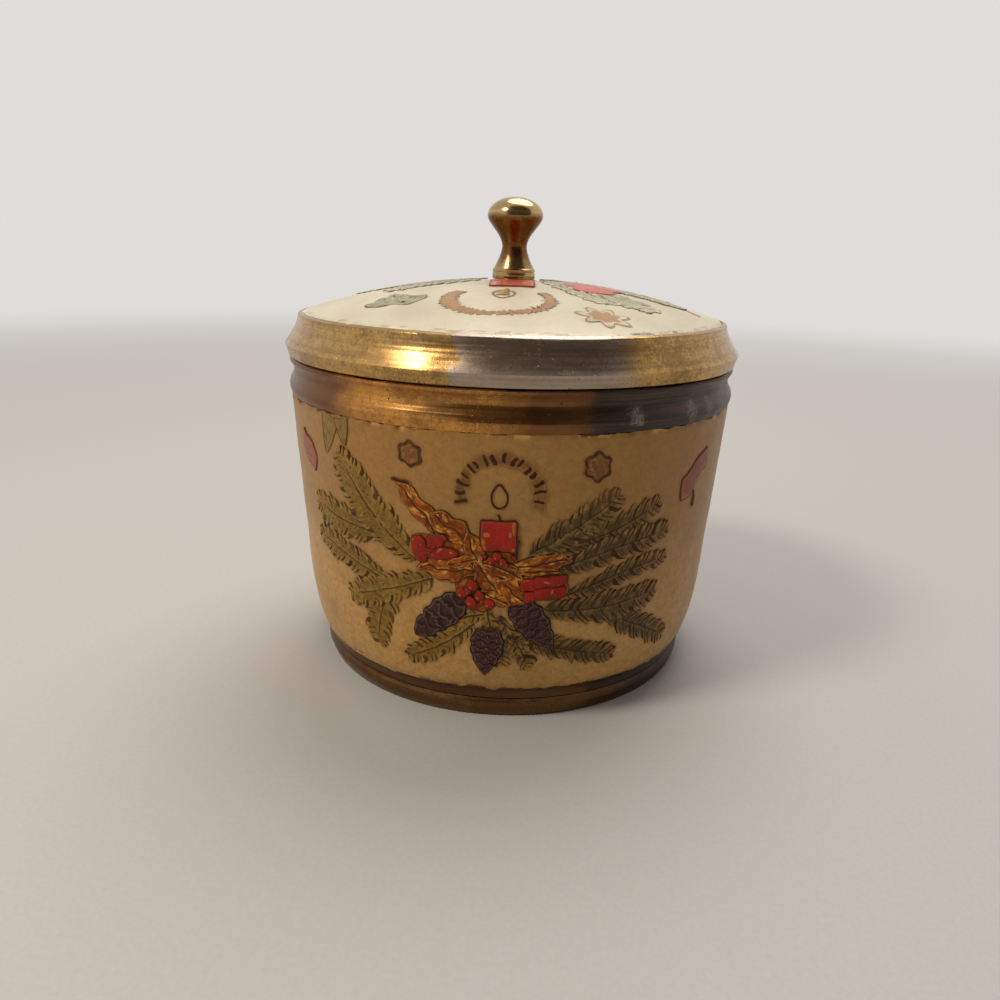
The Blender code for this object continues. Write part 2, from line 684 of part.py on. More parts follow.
def prism_mesh(name, outline, depth):
    """A flat outline in X and Y, given a depth along Z."""
    curve = bpy.data.curves.new(name, "CURVE")
    curve.dimensions = "2D"
    curve.fill_mode = "BOTH"
    curve.extrude = depth / 2
    spline = curve.splines.new("POLY")
    spline.points.add(len(outline) - 1)
    for point, (x, y) in zip(spline.points, outline):
        point.co = (x, y, 0.0, 1.0)
    spline.use_cyclic_u = True
    holder = bpy.data.objects.new(name, curve)
    bpy.context.scene.collection.objects.link(holder)
    bpy.context.view_layer.update()
    evaluated = holder.evaluated_get(bpy.context.evaluated_depsgraph_get())
    mesh = bpy.data.meshes.new_from_object(evaluated)
    mesh.name = name
    bpy.data.objects.remove(holder, do_unlink=True)
    bpy.data.curves.remove(curve)
    work = bmesh.new()
    work.from_mesh(mesh)
    bmesh.ops.remove_doubles(work, verts=work.verts, dist=MERGE_DISTANCE)
    bmesh.ops.recalc_face_normals(work, faces=work.faces)
    work.to_mesh(mesh)
    work.free()
    mesh.materials.clear()
    return mesh


def wall_placement(start, end, turn):
    """Frame of a shape on the wall, its length and the angle it faces."""
    angles = [place[0] * ENAMEL_BAND_HEIGHT / BAND_RADIUS for place in (start, end)]
    middle = sum(angles) / 2
    facing = middle + math.tau * turn
    flat = []
    for angle, place in zip(angles, (start, end)):
        height = between(ENAMEL_FOOT_HEIGHT, ENAMEL_TOP_HEIGHT, place[1])
        flat.append(Vector((belly_radius(height) * math.sin(angle - middle), height)))
    outward = Vector((math.sin(facing), -math.cos(facing), 0.0))
    sideways = Vector((math.cos(facing), math.sin(facing), 0.0))
    run = flat[1] - flat[0]
    along = (sideways * run.x + Vector((0.0, 0.0, run.y))).normalized()
    across = outward.cross(along)
    origin = outward * BAND_RADIUS + sideways * flat[0].x + Vector((0.0, 0.0, flat[0].y))
    return frame_matrix(along, across, outward, origin), run.length


def lid_placement(start, end, turn):
    """Frame of a shape on the lid, and its length. The lid's picture isn't turned."""
    first = Vector((*start, 0.0)) * LID_ENAMEL_RADIUS
    run = Vector((*end, 0.0)) * LID_ENAMEL_RADIUS - first
    upward = Vector((0.0, 0.0, 1.0))
    along = run.normalized()
    origin = first + Vector((0.0, 0.0, DOME_FOOT_HEIGHT))
    return frame_matrix(along, upward.cross(along), upward, origin), run.length


def frame_matrix(first, second, third, origin):
    matrix = Matrix((first, second, third)).transposed().to_4x4()
    matrix.translation = origin
    return matrix


def cell_range(shapes):
    """The box of places that a cell's shapes reach, a width past their ends."""
    reach = max(width for _, _, _, width in shapes)
    places = [place for _, start, end, _ in shapes for place in (start, end)]
    xs = [x for x, _ in places]
    ys = [y for _, y in places]
    return min(xs) - reach, max(xs) + reach, min(ys) - reach, max(ys) + reach


def ranges_meet(first, second):
    across = first[0] < second[1] and second[0] < first[1]
    return across and first[2] < second[3] and second[2] < first[3]


def cell_cutter(name, shape, placement, unit, depth, turn, margin, cutters):
    """A cutter through the enamel with a shape's outline, moved out by a margin."""
    kind, start, end, width_share = shape
    matrix, length = placement(start, end, turn)
    length_share = math.dist(start, end)
    outline = cell_outline(kind, length, length_share, width_share * unit, margin)
    if margin:
        outline = grown(outline, margin)
    cutter = bpy.data.objects.new(name, prism_mesh(name, outline, depth))
    cutters.objects.link(cutter)
    cutter.matrix_world = matrix
    hide_as_guide(cutter)
    return cutter


def plan_cells(cells, placement, unit, depth, picture, sets):
    """Makes the cutters of a picture's cells: for each cell its name, colour, reach, shapes and windows."""
    fills, windows = sets
    turn, ending, left_out = picture
    plan = []
    for name, finish, shapes in cells:
        if name in left_out:
            continue
        cutters = []
        for margin, collection, word in ((0.0, fills, "fill"), (GAP, windows, "window")):
            made = [
                cell_cutter(
                    f"{name}{ending}_{word}_{i}", shape, placement, unit, depth, turn, margin, collection
                )
                for i, shape in enumerate(shapes)
            ]
            cutters.append(made)
        plan.append((name + ending, finish, cell_range(shapes), *cutters))
    return plan


def lay_cells(plan, blank, collection, parent=None):
    """Fills the windows of a picture, each cell cut back from those that lie on top of it."""
    laid = []
    for name, finish, reach, shapes, windows in plan:
        piece = add_piece(name, shapes[0].data.copy(), finish, collection, parent)
        piece.matrix_world = shapes[0].matrix_world
        for other in shapes[1:]:
            add_boolean(piece, other, "UNION")
        add_boolean(piece, blank, "INTERSECT")
        for upper_reach, upper_windows in laid:
            if ranges_meet(reach, upper_reach):
                for window in upper_windows:
                    add_boolean(piece, window, "DIFFERENCE")
        laid.append((reach, windows))


def enamelled(name, profile, windows, collection, parent=None):
    """The cream ground, cut through by all the windows of a collection."""
    ground = turned(name, profile, CREAM, collection, parent)
    cut = add_boolean(ground, None, "DIFFERENCE")
    cut.operand_type = "COLLECTION"
    cut.collection = windows
    return ground


def largest_solid(mesh):
    """Drops the slivers that the cuts leave loose from a mesh."""
    work = bmesh.new()
    work.from_mesh(mesh)
    waiting = set(work.faces)
    islands = []
    while waiting:
        island = {waiting.pop()}
        edge = list(island)
        while edge:
            near = {face for line in edge.pop().edges for face in line.link_faces} & waiting
            waiting -= near
            island |= near
            edge.extend(near)
        islands.append(island)
    islands.sort(key=lambda island: sum(face.calc_area() for face in island))
    for island in islands[:-1]:
        bmesh.ops.delete(work, geom=list(island), context="FACES")
    work.to_mesh(mesh)
    work.free()
    return mesh


def settle_cuts(collection):
    """Applies the cuts of all the cut pieces, and keeps each piece's one solid."""
    view = bpy.context.evaluated_depsgraph_get()
    cut = [piece for piece in collection.objects if piece.type == "MESH"]
    cut = [piece for piece in cut if any(step.type == "BOOLEAN" for step in piece.modifiers)]
    meshes = [bpy.data.meshes.new_from_object(piece.evaluated_get(view)) for piece in cut]
    for piece, mesh in zip(cut, meshes):
        piece.modifiers.clear()
        piece.data = largest_solid(mesh)


def make_wall_enamel(collection, cutters):
    windows = new_collection("wall_windows")
    depth = FOOT_RADIUS
    plans = [
        plan_cells(
            WALL_CELL_SHARES, wall_placement, ENAMEL_BAND_HEIGHT, depth, picture, (cutters, windows)
        )
        for picture in WALL_PICTURE_SHARES
    ]
    blank = turned("band_blank", band_profile(), CREAM, cutters)
    hide_as_guide(blank)
    for plan in plans:
        lay_cells(plan, blank, collection)
    enamelled("body_enamel", band_profile(), windows, collection)
    settle_cuts(collection)


def make_lid_enamel(collection, cutters, parent):
    windows = new_collection("lid_windows")
    depth = DOME_TOP_HEIGHT
    plan = plan_cells(
        LID_CELL_SHARES, lid_placement, LID_ENAMEL_RADIUS, depth, LID_PICTURE_SHARES, (cutters, windows)
    )
    blank = turned("dome_blank", dome_enamel_profile(), CREAM, cutters)
    hide_as_guide(blank)
    lay_cells(plan, blank, collection, parent)
    enamelled("lid_enamel", dome_enamel_profile(), windows, collection, parent)


def main():
    clear_scene()
    canister = new_collection("cloisonne_canister")
    cutters = new_collection("cutters")
    lid = bpy.data.objects.new("lid_axis", None)
    canister.objects.link(lid)

    make_foot_ring(canister)
    make_base_disc(canister)
    make_body_wall(canister)
    make_wall_enamel(canister, cutters)

    make_lid_shell(canister, lid)
    make_lid_collar(canister, lid)
    make_lid_enamel(canister, cutters, lid)
    make_knob(canister, lid)
    make_knob_washer(canister, lid)
    make_knob_screw(canister, cutters, lid)
    settle_cuts(canister)


main()
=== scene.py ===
"""Cloisonne canister: the finish of its brass and enamel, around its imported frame.

The table is z = 0, the pot's axis is x = y = 0, and the front of the ornament faces -Y.
"""

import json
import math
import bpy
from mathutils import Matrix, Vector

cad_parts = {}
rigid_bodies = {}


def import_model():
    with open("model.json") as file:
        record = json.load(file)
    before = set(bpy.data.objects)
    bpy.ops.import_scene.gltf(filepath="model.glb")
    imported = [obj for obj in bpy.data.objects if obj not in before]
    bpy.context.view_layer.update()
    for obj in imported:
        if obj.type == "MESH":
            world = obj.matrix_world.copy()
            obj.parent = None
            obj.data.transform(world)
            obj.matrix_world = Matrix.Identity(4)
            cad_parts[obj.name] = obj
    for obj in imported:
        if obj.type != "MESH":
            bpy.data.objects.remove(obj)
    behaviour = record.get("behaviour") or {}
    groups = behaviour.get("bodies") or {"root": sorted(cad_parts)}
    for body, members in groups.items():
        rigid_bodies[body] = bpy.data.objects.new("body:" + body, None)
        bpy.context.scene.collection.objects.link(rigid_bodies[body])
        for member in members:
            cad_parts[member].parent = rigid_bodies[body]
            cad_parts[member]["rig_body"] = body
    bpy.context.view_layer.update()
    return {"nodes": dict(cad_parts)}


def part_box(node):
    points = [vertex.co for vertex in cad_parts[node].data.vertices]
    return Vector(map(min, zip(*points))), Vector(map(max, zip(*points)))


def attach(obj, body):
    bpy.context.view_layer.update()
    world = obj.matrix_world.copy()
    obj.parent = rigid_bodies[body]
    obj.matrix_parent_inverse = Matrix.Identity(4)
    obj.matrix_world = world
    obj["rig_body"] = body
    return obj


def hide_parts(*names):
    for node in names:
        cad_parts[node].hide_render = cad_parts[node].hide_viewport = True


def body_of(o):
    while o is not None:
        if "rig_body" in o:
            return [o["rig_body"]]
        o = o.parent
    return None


bl_info = {
    "name": "Cloisonne canister",
    "version": (1, 0, 0),
    "blender": (4, 5, 0),
    "location": "View3D > Sidebar > Canister",
    "description": "Turned brass, cream ground and raised enamel ornament of a lidded canister",
    "category": "Object",
}

from types import SimpleNamespace

import bpy
import numpy as np
from bpy.props import FloatProperty, FloatVectorProperty, IntProperty, PointerProperty
from mathutils import Matrix, Vector

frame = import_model()

MM = 0.001
MERGE_DISTANCE = 0.002 * MM
CREASE_ANGLE = math.radians(40)
PLATE_CREASE_ANGLE = math.radians(60)

# Places read from the frame
WALL_FOOT, WALL_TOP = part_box("body_wall")
FOOT_LOW, FOOT_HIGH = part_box("foot_ring")
BAND_LOW, BAND_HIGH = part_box("body_enamel")
SHELL_LOW, SHELL_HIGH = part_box("lid_shell")
COLLAR_LOW, COLLAR_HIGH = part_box("lid_collar")
KNOB_LOW, KNOB_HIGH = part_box("knob")
DISC_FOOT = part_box("base_disc")[0].z
LID_ENAMEL_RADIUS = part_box("lid_enamel")[1].x

# Sizes that all the brass shares
GAP = 0.3 * MM
SHEET_THICKNESS = 1.8 * MM
RECESS = 0.35 * MM
ENAMEL_DEPTH = 0.5 * MM
ENAMEL_EDGE_DEPTH = 0.4 * MM
EDGE = 0.3 * MM
NICK = 0.1 * MM
LAP = 0.2 * MM
CORNER = 0.15 * MM

# The pot
BAND_FOOT, BAND_TOP, BAND_RADIUS = BAND_LOW.z, BAND_HIGH.z, BAND_HIGH.x
BAND_HEIGHT = BAND_TOP - BAND_FOOT
BODY_HEIGHT = WALL_TOP.z
FOOT_RADIUS = 54.1 * MM
MOUTH_RADIUS = BAND_RADIUS + LAP
BORE_WALL = 1.9 * MM
BORE_RADIUS = MOUTH_RADIUS - BORE_WALL
RIM_HEIGHT = 1.2 * MM
WAIST_HEIGHT = 4.6 * MM
WAIST_DEPTH = 0.9 * MM
WAIST_TOP = BODY_HEIGHT - RIM_HEIGHT
ROLL_TOP = WAIST_TOP - WAIST_HEIGHT
ROLL_PROUD = 0.45 * MM
ROLL_DROP = 0.15 * MM
COVE_DROP = 0.25 * MM
COVE_DEPTH = 0.45 * MM
BEAD_PROUD = 0.7 * MM
BEAD_LIFT = 0.05 * MM
TREAD_WIDTH = 3.6 * MM

# The lid
LIP_HEIGHT, CREASE_RADIUS = SHELL_LOW.z, SHELL_HIGH.x
LIP_INSET = 0.8 * MM
LIP_RISE = 3.0 * MM
SHOULDER_INSET = 2.9 * MM
SHOULDER_RISE = 4.7 * MM
DOME_STEP = 3.0 * MM
DOME_RISE = 9.6 * MM
LID_HOLE_RADIUS = 6.65 * MM
SCREW_HOLE_RADIUS = 1.8 * MM
SKIRT_HOLLOW = 0.18 * MM
SHOULDER_HOLLOW = 0.12 * MM
LIP_HOLLOW = 0.06 * MM
COLLAR_THICKNESS = 1.0 * MM
LIP_RADIUS = CREASE_RADIUS - LIP_INSET
CREASE_HEIGHT = LIP_HEIGHT + LIP_RISE
SHOULDER_RADIUS = CREASE_RADIUS - SHOULDER_INSET
SHOULDER_HEIGHT = CREASE_HEIGHT + SHOULDER_RISE
DOME_RADIUS = SHOULDER_RADIUS - LIP_INSET
DOME_FOOT = SHOULDER_HEIGHT + DOME_STEP
DOME_TOP = DOME_FOOT + DOME_RISE
DOME_CURVE = (DOME_RADIUS**2 + DOME_RISE**2) / (2 * DOME_RISE)
DOME_CENTRE = DOME_TOP - DOME_CURVE

# The knob: heights above its foot, radii, and the points of its ring as radius and depth below the ring's top
KNOB_WIDEST = 16.8 * MM
KNOB_NECK = 8.7 * MM
KNOB_RING = 3.0 * MM
KNOB_WAIST_RADIUS = 3.45 * MM
KNOB_FLARE_RADIUS = 5.5 * MM
KNOB_FOOT_RADIUS = 5.8 * MM
KNOB_RING_RADIUS = 6.0 * MM
KNOB_BORE_DEPTH = 7.6 * MM
KNOB_BORE_TIP = 9.1 * MM
KNOB_RING_POINTS = ((5.55, 0.05), (5.95, 0.35), (6.0, 0.8), (5.90, 1.1), (5.90, 1.3), (6.0, 1.6))

# Widening of the wall from the foot to the enamel's top: shares of that height and of that widening
BELLY_SHARES = (
    (0.0, 0.0),
    (0.07, 0.045),
    (0.12, 0.22),
    (0.17, 0.37),
    (0.25, 0.52),
    (0.5, 0.70),
    (0.75, 0.86),
    (1.0, 1.0),
)


# Sizes and colours that a user would change


def colour_property(name, description, default):
    return FloatVectorProperty(
        name=name, description=description, default=default, size=3, subtype="COLOR", min=0.0, max=1.0
    )


def length_property(name, description, default):
    return FloatProperty(name=name, description=description, default=default, unit="LENGTH", precision=5)


class CanisterSizes(bpy.types.PropertyGroup):
    """Sizes of the fine surface."""

    turned_steps: IntProperty(name="Turned steps", description="Facets round a turned piece", default=360)
    band_rows: IntProperty(name="Band rows", description="Rows of points up the cream wall", default=90)
    dent: length_property("Dent", "Depth of the dents in the spun brass", 0.12 * MM)
    groove: length_property("Groove", "Depth of the lathe's grooves", 0.025 * MM)
    line: length_property("Line", "Width of an engraved outline", 0.42 * MM)
    shake: length_property("Shake", "How far a drawn edge strays, as if by hand", 0.14 * MM)
    plate: length_property("Plate", "Depth of a raised enamel plate", 0.4 * MM)
    # Reach of the grime round the ornament, which is partly painted shade.
    grime_reach: length_property("Grime reach", "How far grime spreads from the ornament", 0.9 * MM)


class CanisterColours(bpy.types.PropertyGroup):
    """Colours of the brass and the enamels, in linear light."""

    brass: colour_property("Brass", "Clean brass", (0.60, 0.36, 0.122))
    # Tarnish is also the darkest tone of the brass's zones of painted dark reflection and painted shade.
    tarnish: colour_property("Tarnish", "Old tarnish on brass", (0.085, 0.050, 0.028))
    # The wall's creams are darker and warmer than the lid's, the same enamel: painted shade and warm light on the
    # wall's front. The wall's shade colour is laid as painted shade, darker towards the top under the lid.
    wall_cream: colour_property("Wall cream", "Ground of the wall", (0.585, 0.330, 0.103))
    wall_cream_shade: colour_property("Wall shade", "Stained ground of the wall", (0.40, 0.205, 0.052))
    lid_cream: colour_property("Lid cream", "Ground of the lid", (0.72, 0.655, 0.49))
    lid_cream_shade: colour_property("Lid shade", "Stained ground of the lid", (0.60, 0.53, 0.38))
    line: colour_property("Line", "Dark engraved lines", (0.050, 0.022, 0.009))
    fir: colour_property("Fir", "Olive of the left boughs", (0.285, 0.172, 0.022))
    fir_dark: colour_property("Dark fir", "Grey olive of the right boughs", (0.125, 0.086, 0.026))
    cone: colour_property("Cone", "Violet brown of the cones", (0.069, 0.026, 0.020))
    amber: colour_property("Amber", "Amber of the holly leaves", (0.60, 0.165, 0.007))
    red: colour_property("Red", "Red of candle, bows and berries", (0.45, 0.016, 0.008))
    pink: colour_property("Pink", "Dull pink", (0.36, 0.115, 0.070))
    olive: colour_property("Olive", "Olive leaf at the top", (0.28, 0.18, 0.05))
    tan: colour_property("Tan", "Engraved ground of the stars and rays", (0.29, 0.125, 0.038))
    lid_tan: colour_property("Lid tan", "Glow and star of the lid", (0.47, 0.26, 0.10))
    lid_green: colour_property("Lid green", "Boughs and leaf of the lid", (0.40, 0.38, 0.26))
    lid_red: colour_property("Lid red", "Candle and bow of the lid", (0.60, 0.135, 0.09))


# Modelling


def deselect_all():
    bpy.ops.object.select_all(action="DESELECT")


def pick(*pieces):
    deselect_all()
    for piece in pieces:
        piece.select_set(True)
    bpy.context.view_layer.objects.active = pieces[0]


def mesh_values(mesh, name):
    """The places or normals of a mesh's points as rows."""
    flat = np.empty(len(mesh.vertices) * 3)
    mesh.vertices.foreach_get(name, flat)
    return flat.reshape(-1, 3)


def coordinates(mesh):
    return mesh_values(mesh, "co")


def set_coordinates(mesh, points):
    mesh.vertices.foreach_set("co", np.ascontiguousarray(points).ravel())
    mesh.update()


def set_mask(mesh, name, values):
    layer = mesh.attributes.get(name) or mesh.attributes.new(name, "FLOAT", "POINT")
    layer.data.foreach_set("value", np.clip(values, 0.0, 1.0))


def smooth(values, low, high):
    share = np.clip((values - low) / (high - low), 0.0, 1.0)
    return share * share * (3.0 - 2.0 * share)


def fall(values, low, high):
    """1 up to a low value, falling to 0 at a high one."""
    return 1.0 - smooth(values, low, high)


def wobble(x, y, seed, pitch, octaves=3):
    """Smooth hand-drawn unevenness, from about -1 to 1, of waves at a pitch and shorter ones."""
    draw = np.random.default_rng(seed)
    total = np.zeros_like(x)
    for octave in range(octaves):
        for _ in range(4):
            turn = draw.uniform(0, math.tau)
            wave = math.tau / pitch * 1.9**octave * draw.uniform(0.7, 1.3)
            phase = draw.uniform(0, math.tau)
            swing = np.sin(wave * (x * math.cos(turn) + y * math.sin(turn)) + phase)
            total += swing / 4 * 0.62**octave
    return total


def belly_radius(height):
    """Outer radius of the wall at a height, on a smooth curve through BELLY_SHARES."""
    share = np.clip(np.asarray(height, float) / BAND_TOP, 0.0, 1.0)
    xs, ys = np.array(BELLY_SHARES).T
    slopes = np.gradient(ys, xs)
    place = np.clip(np.searchsorted(xs, share, side="right") - 1, 0, len(xs) - 2)
    run = xs[place + 1] - xs[place]
    t = (share - xs[place]) / run
    low = (1 + 2 * t) * (1 - t) ** 2 * ys[place] + t * (1 - t) ** 2 * run * slopes[place]
    high = t * t * (3 - 2 * t) * ys[place + 1] + t * t * (t - 1) * run * slopes[place + 1]
    swell = np.clip(low + high, 0.0, 1.0)
    return FOOT_RADIUS + (BAND_RADIUS - FOOT_RADIUS) * swell


def dome_height(radius, curve=DOME_CURVE):
    return DOME_CENTRE + np.sqrt(curve**2 - np.asarray(radius, float) ** 2)


def on_wall(across, up, relief, turn):
    """Places flat points on the wall, the middle of the picture at a turn from the front."""
    angle = across / BAND_RADIUS + turn
    height = BAND_FOOT + up
    radius = belly_radius(height) + relief
    return np.column_stack((radius * np.sin(angle), -radius * np.cos(angle), height))


def on_lid(across, up, relief, turn):
    """Places flat points on the dome, seen from above."""
    return np.column_stack((across, up, dome_height(np.hypot(across, up)) + relief))


def unrolled(points):
    """Points of the wall laid flat: the way round and the height."""
    return np.column_stack((np.arctan2(points[:, 0], -points[:, 1]) * BAND_RADIUS, points[:, 2]))


def edit_mesh(*steps):
    """Runs edit operators, given with their settings, on all of the active mesh."""
    bpy.ops.object.mode_set(mode="EDIT")
    for step, settings in steps:
        bpy.ops.mesh.select_all(action="SELECT")
        step(**settings)
    bpy.ops.object.mode_set(mode="OBJECT")


def unbroken(profile):
    """The profile without points that repeat the one before."""
    kept = [profile[0]]
    for point in profile[1:]:
        if math.dist(point, kept[-1]) > MERGE_DISTANCE:
            kept.append(point)
    return kept


def turned(name, profile, steps, closed=True):
    """A turned piece: points extruded one from the other down its outer side, then spun round the axis."""
    path = unbroken(profile)
    first = path[0]
    deselect_all()
    bpy.ops.mesh.primitive_plane_add(size=MM, location=(first[0], 0.0, first[1]))
    piece = bpy.context.object
    piece.name = name
    piece.data.name = name
    bpy.ops.object.transform_apply(location=True)
    bpy.ops.object.mode_set(mode="EDIT")
    bpy.ops.mesh.select_all(action="SELECT")
    bpy.ops.mesh.merge(type="CENTER")
    path += [first] if closed else []
    for here, there in zip(path, path[1:]):
        step = (there[0] - here[0], 0.0, there[1] - here[1])
        bpy.ops.mesh.extrude_region_move(TRANSFORM_OT_translate={"value": step})
    bpy.ops.object.mode_set(mode="OBJECT")
    edit_mesh(
        (bpy.ops.mesh.remove_doubles, {"threshold": MERGE_DISTANCE}),
        (bpy.ops.mesh.spin, {"steps": steps, "angle": math.tau, "center": (0, 0, 0), "axis": (0, 0, 1)}),
        (bpy.ops.mesh.remove_doubles, {"threshold": MERGE_DISTANCE}),
        (bpy.ops.mesh.normals_make_consistent, {"inside": False}),
    )
    return piece


def soften(piece, angle=CREASE_ANGLE):
    pick(piece)
    bpy.ops.object.shade_smooth_by_angle(angle=angle)


def dress(piece, material):
    piece.data.materials.clear()
    piece.data.materials.append(material_named(material))


def finish_piece(piece, material, body, slot, *nodes):
    """Dresses a piece, ties it to its body and hides the nodes it stands for. Its slot is not used."""
    dress(piece, material)
    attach(piece, body)
    if nodes:
        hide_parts(*nodes)
    return piece


def rows_between(start, end, count, bulge=0.0):
    """Profile points from one place to another, bowed sideways by a bulge."""
    rows = []
    for share in np.linspace(0.0, 1.0, count):
        radius = start[0] + (end[0] - start[0]) * share + bulge * math.sin(math.pi * share)
        rows.append((radius, start[1] + (end[1] - start[1]) * share))
    return rows


def wall_rows(start, end, count, inset=0.0):
    """Profile points along the belly of the wall between two heights, set in from it."""
    return [(float(belly_radius(height)) - inset, float(height)) for height in np.linspace(start, end, count)]


# Lathe marks and dents: pitches of the grooves up the wall and of the dents round it
GROOVE_PITCHES = (0.42 * MM, 0.15 * MM, 0.3 * MM)
DENT_PITCHES = (26 * MM, 19 * MM)


def hammered(piece, seed):
    """Gives a turned piece the lathe's grooves and shallow dents, on its outer side alone."""
    sizes = bpy.context.scene.canister_sizes
    points = coordinates(piece.data)
    normals = mesh_values(piece.data, "normal")
    x, y, height = points.T
    radius = np.hypot(x, y)
    outward = (x * normals[:, 0] + y * normals[:, 1]) / np.maximum(radius, MM)
    outer = smooth(outward + 0.6 * normals[:, 2], 0.1, 0.5)
    wide, narrow, across = GROOVE_PITCHES
    rings = np.sin(height / wide) * 0.5 + np.sin(height / narrow + radius / across)
    dents = wobble(x, height * 2, seed, DENT_PITCHES[0]) + 0.5 * wobble(y, height * 2, seed + 1, DENT_PITCHES[1])
    depth = np.minimum(dents * sizes.dent, 0.0) + (rings - 1.5) * sizes.groove * 0.5
    set_coordinates(piece.data, points + normals * (depth * outer)[:, None])


# Dark zones of the brass, painted dark reflection and painted shade, partly tarnish: pitches of their uneven
# ends and edges, how far their edges stray and how soft they are
ZONE_END_PITCH = 8 * MM
ZONE_EDGE_PITCH = 6 * MM
ZONE_STRAY = 0.15 * MM


def dark_zones(piece, zones, seed):
    """Marks dark zones on a turned piece between pairs of angles in degrees, within bands of height.
    They paint a dark reflection and shade, partly tarnish.
    """
    way, height = unrolled(coordinates(piece.data)).T
    degrees = np.degrees(way / BAND_RADIUS) + 2.0 * wobble(way, height, seed, ZONE_END_PITCH)
    height = height + ZONE_STRAY * wobble(way, height, seed + 1, ZONE_EDGE_PITCH)
    zone = np.zeros(len(way))
    for start, end, strength, soft, low, high in zones:
        turn = (degrees - start) % 360
        inside = smooth(turn, 0.0, soft) * fall(turn, end - start - soft, end - start)
        if end - start >= 360:
            inside = np.ones_like(turn)
        inside *= smooth(height, low - EDGE, low + EDGE) * fall(height, high - EDGE, high + EDGE)
        zone = np.maximum(zone, inside * strength)
    set_mask(piece.data, "tarnish", zone)


# Pale scuffs on the neck: where they lie, in degrees round it, how far below the roll's top, size and pitch
NECK_SCUFFS = (29.0, 46.0, 54.0, 61.0, 152.0, 171.0, -120.0)
SCUFF_DROP = 0.6 * MM
SCUFF_SIZE = 3.2 * MM
SCUFF_PITCH = 2.2 * MM


def scuff_neck(piece):
    """Marks pale scuffs round the outer side of the neck."""
    points = coordinates(piece.data)
    way, height = unrolled(points).T
    spot = np.zeros(len(way))
    for degrees in NECK_SCUFFS:
        middle = math.radians(degrees) * BAND_RADIUS
        reach = np.hypot((way - middle) * 1.3, height - ROLL_TOP + SCUFF_DROP)
        reach = reach + 0.35 * SCUFF_SIZE * wobble(way, height, round(degrees) % 97, SCUFF_PITCH, 3)
        spot = np.maximum(spot, fall(reach, SCUFF_SIZE * 0.3, SCUFF_SIZE))
    outside = np.hypot(points[:, 0], points[:, 1]) > BORE_RADIUS + 0.3 * SHEET_THICKNESS
    set_mask(piece.data, "scuff", spot * outside)


# Materials


class Nodes:
    """A shader's node tree, with short calls that add nodes to it and link them."""

    def __init__(self, tree):
        self.tree = tree

    def fill(self, made, inputs):
        """Gives a node's inputs values, or links where the value is another node's output."""
        for key, value in inputs.items():
            if isinstance(value, bpy.types.NodeSocket):
                self.tree.links.new(value, made.inputs[key])
            else:
                made.inputs[key].default_value = value

    def add(self, kind, inputs, **settings):
        made = self.tree.nodes.new("ShaderNode" + kind)
        for key, value in settings.items():
            setattr(made, key, value)
        self.fill(made, inputs)
        return made.outputs

    def math(self, operation, first, second=0.0, third=0.0):
        return self.add("Math", {0: first, 1: second, 2: third}, operation=operation)[0]

    def times(self, first, second):
        return self.math("MULTIPLY", first, second)

    def times_plus(self, first, second, third):
        return self.math("MULTIPLY_ADD", first, second, third)

    def less(self, first, second):
        return self.math("SUBTRACT", first, second)

    def larger(self, first, second):
        return self.math("MAXIMUM", first, second)

    def vector(self, operation, *inputs, **named):
        return self.add("VectorMath", {**dict(enumerate(inputs)), **named}, operation=operation)

    def place(self):
        return self.add("TexCoord", {})["Object"]

    def mask(self, name):
        return self.add("Attribute", {}, attribute_name=name)["Fac"]

    def band(self, value, low, high, low_value=0.0, high_value=1.0):
        """A value from 0 to 1 as another value passes from low to high."""
        inputs = {"Value": value, "From Min": low, "From Max": high, "To Min": low_value, "To Max": high_value}
        return self.add("MapRange", inputs, interpolation_type="SMOOTHSTEP")[0]

    def noise(self, vector, scale, detail=3.0, roughness=0.55, distortion=0.0):
        inputs = {"Scale": scale, "Detail": detail, "Roughness": roughness, "Distortion": distortion}
        return self.add("TexNoise", {"Vector": vector, **inputs})[0]

    def layers(self, colour, *layers):
        """A colour with others laid over it, each by its share."""
        for share, over in layers:
            colour = self.add("Mix", {0: share, 6: colour, 7: over}, data_type="RGBA", blend_type="MIX")[2]
        return colour

    def bump(self, height, distance, strength):
        return self.add("Bump", {"Height": height, "Distance": distance, "Strength": strength})[0]

    def group(self, name, **values):
        return self.add("Group", values, node_tree=group_named(name))


def rgba(colour, strength=1.0):
    return (*(channel * strength for channel in colour), 1.0)


def blended(first, first_share, second, second_share):
    return tuple(a * first_share + b * second_share for a, b in zip(first, second))


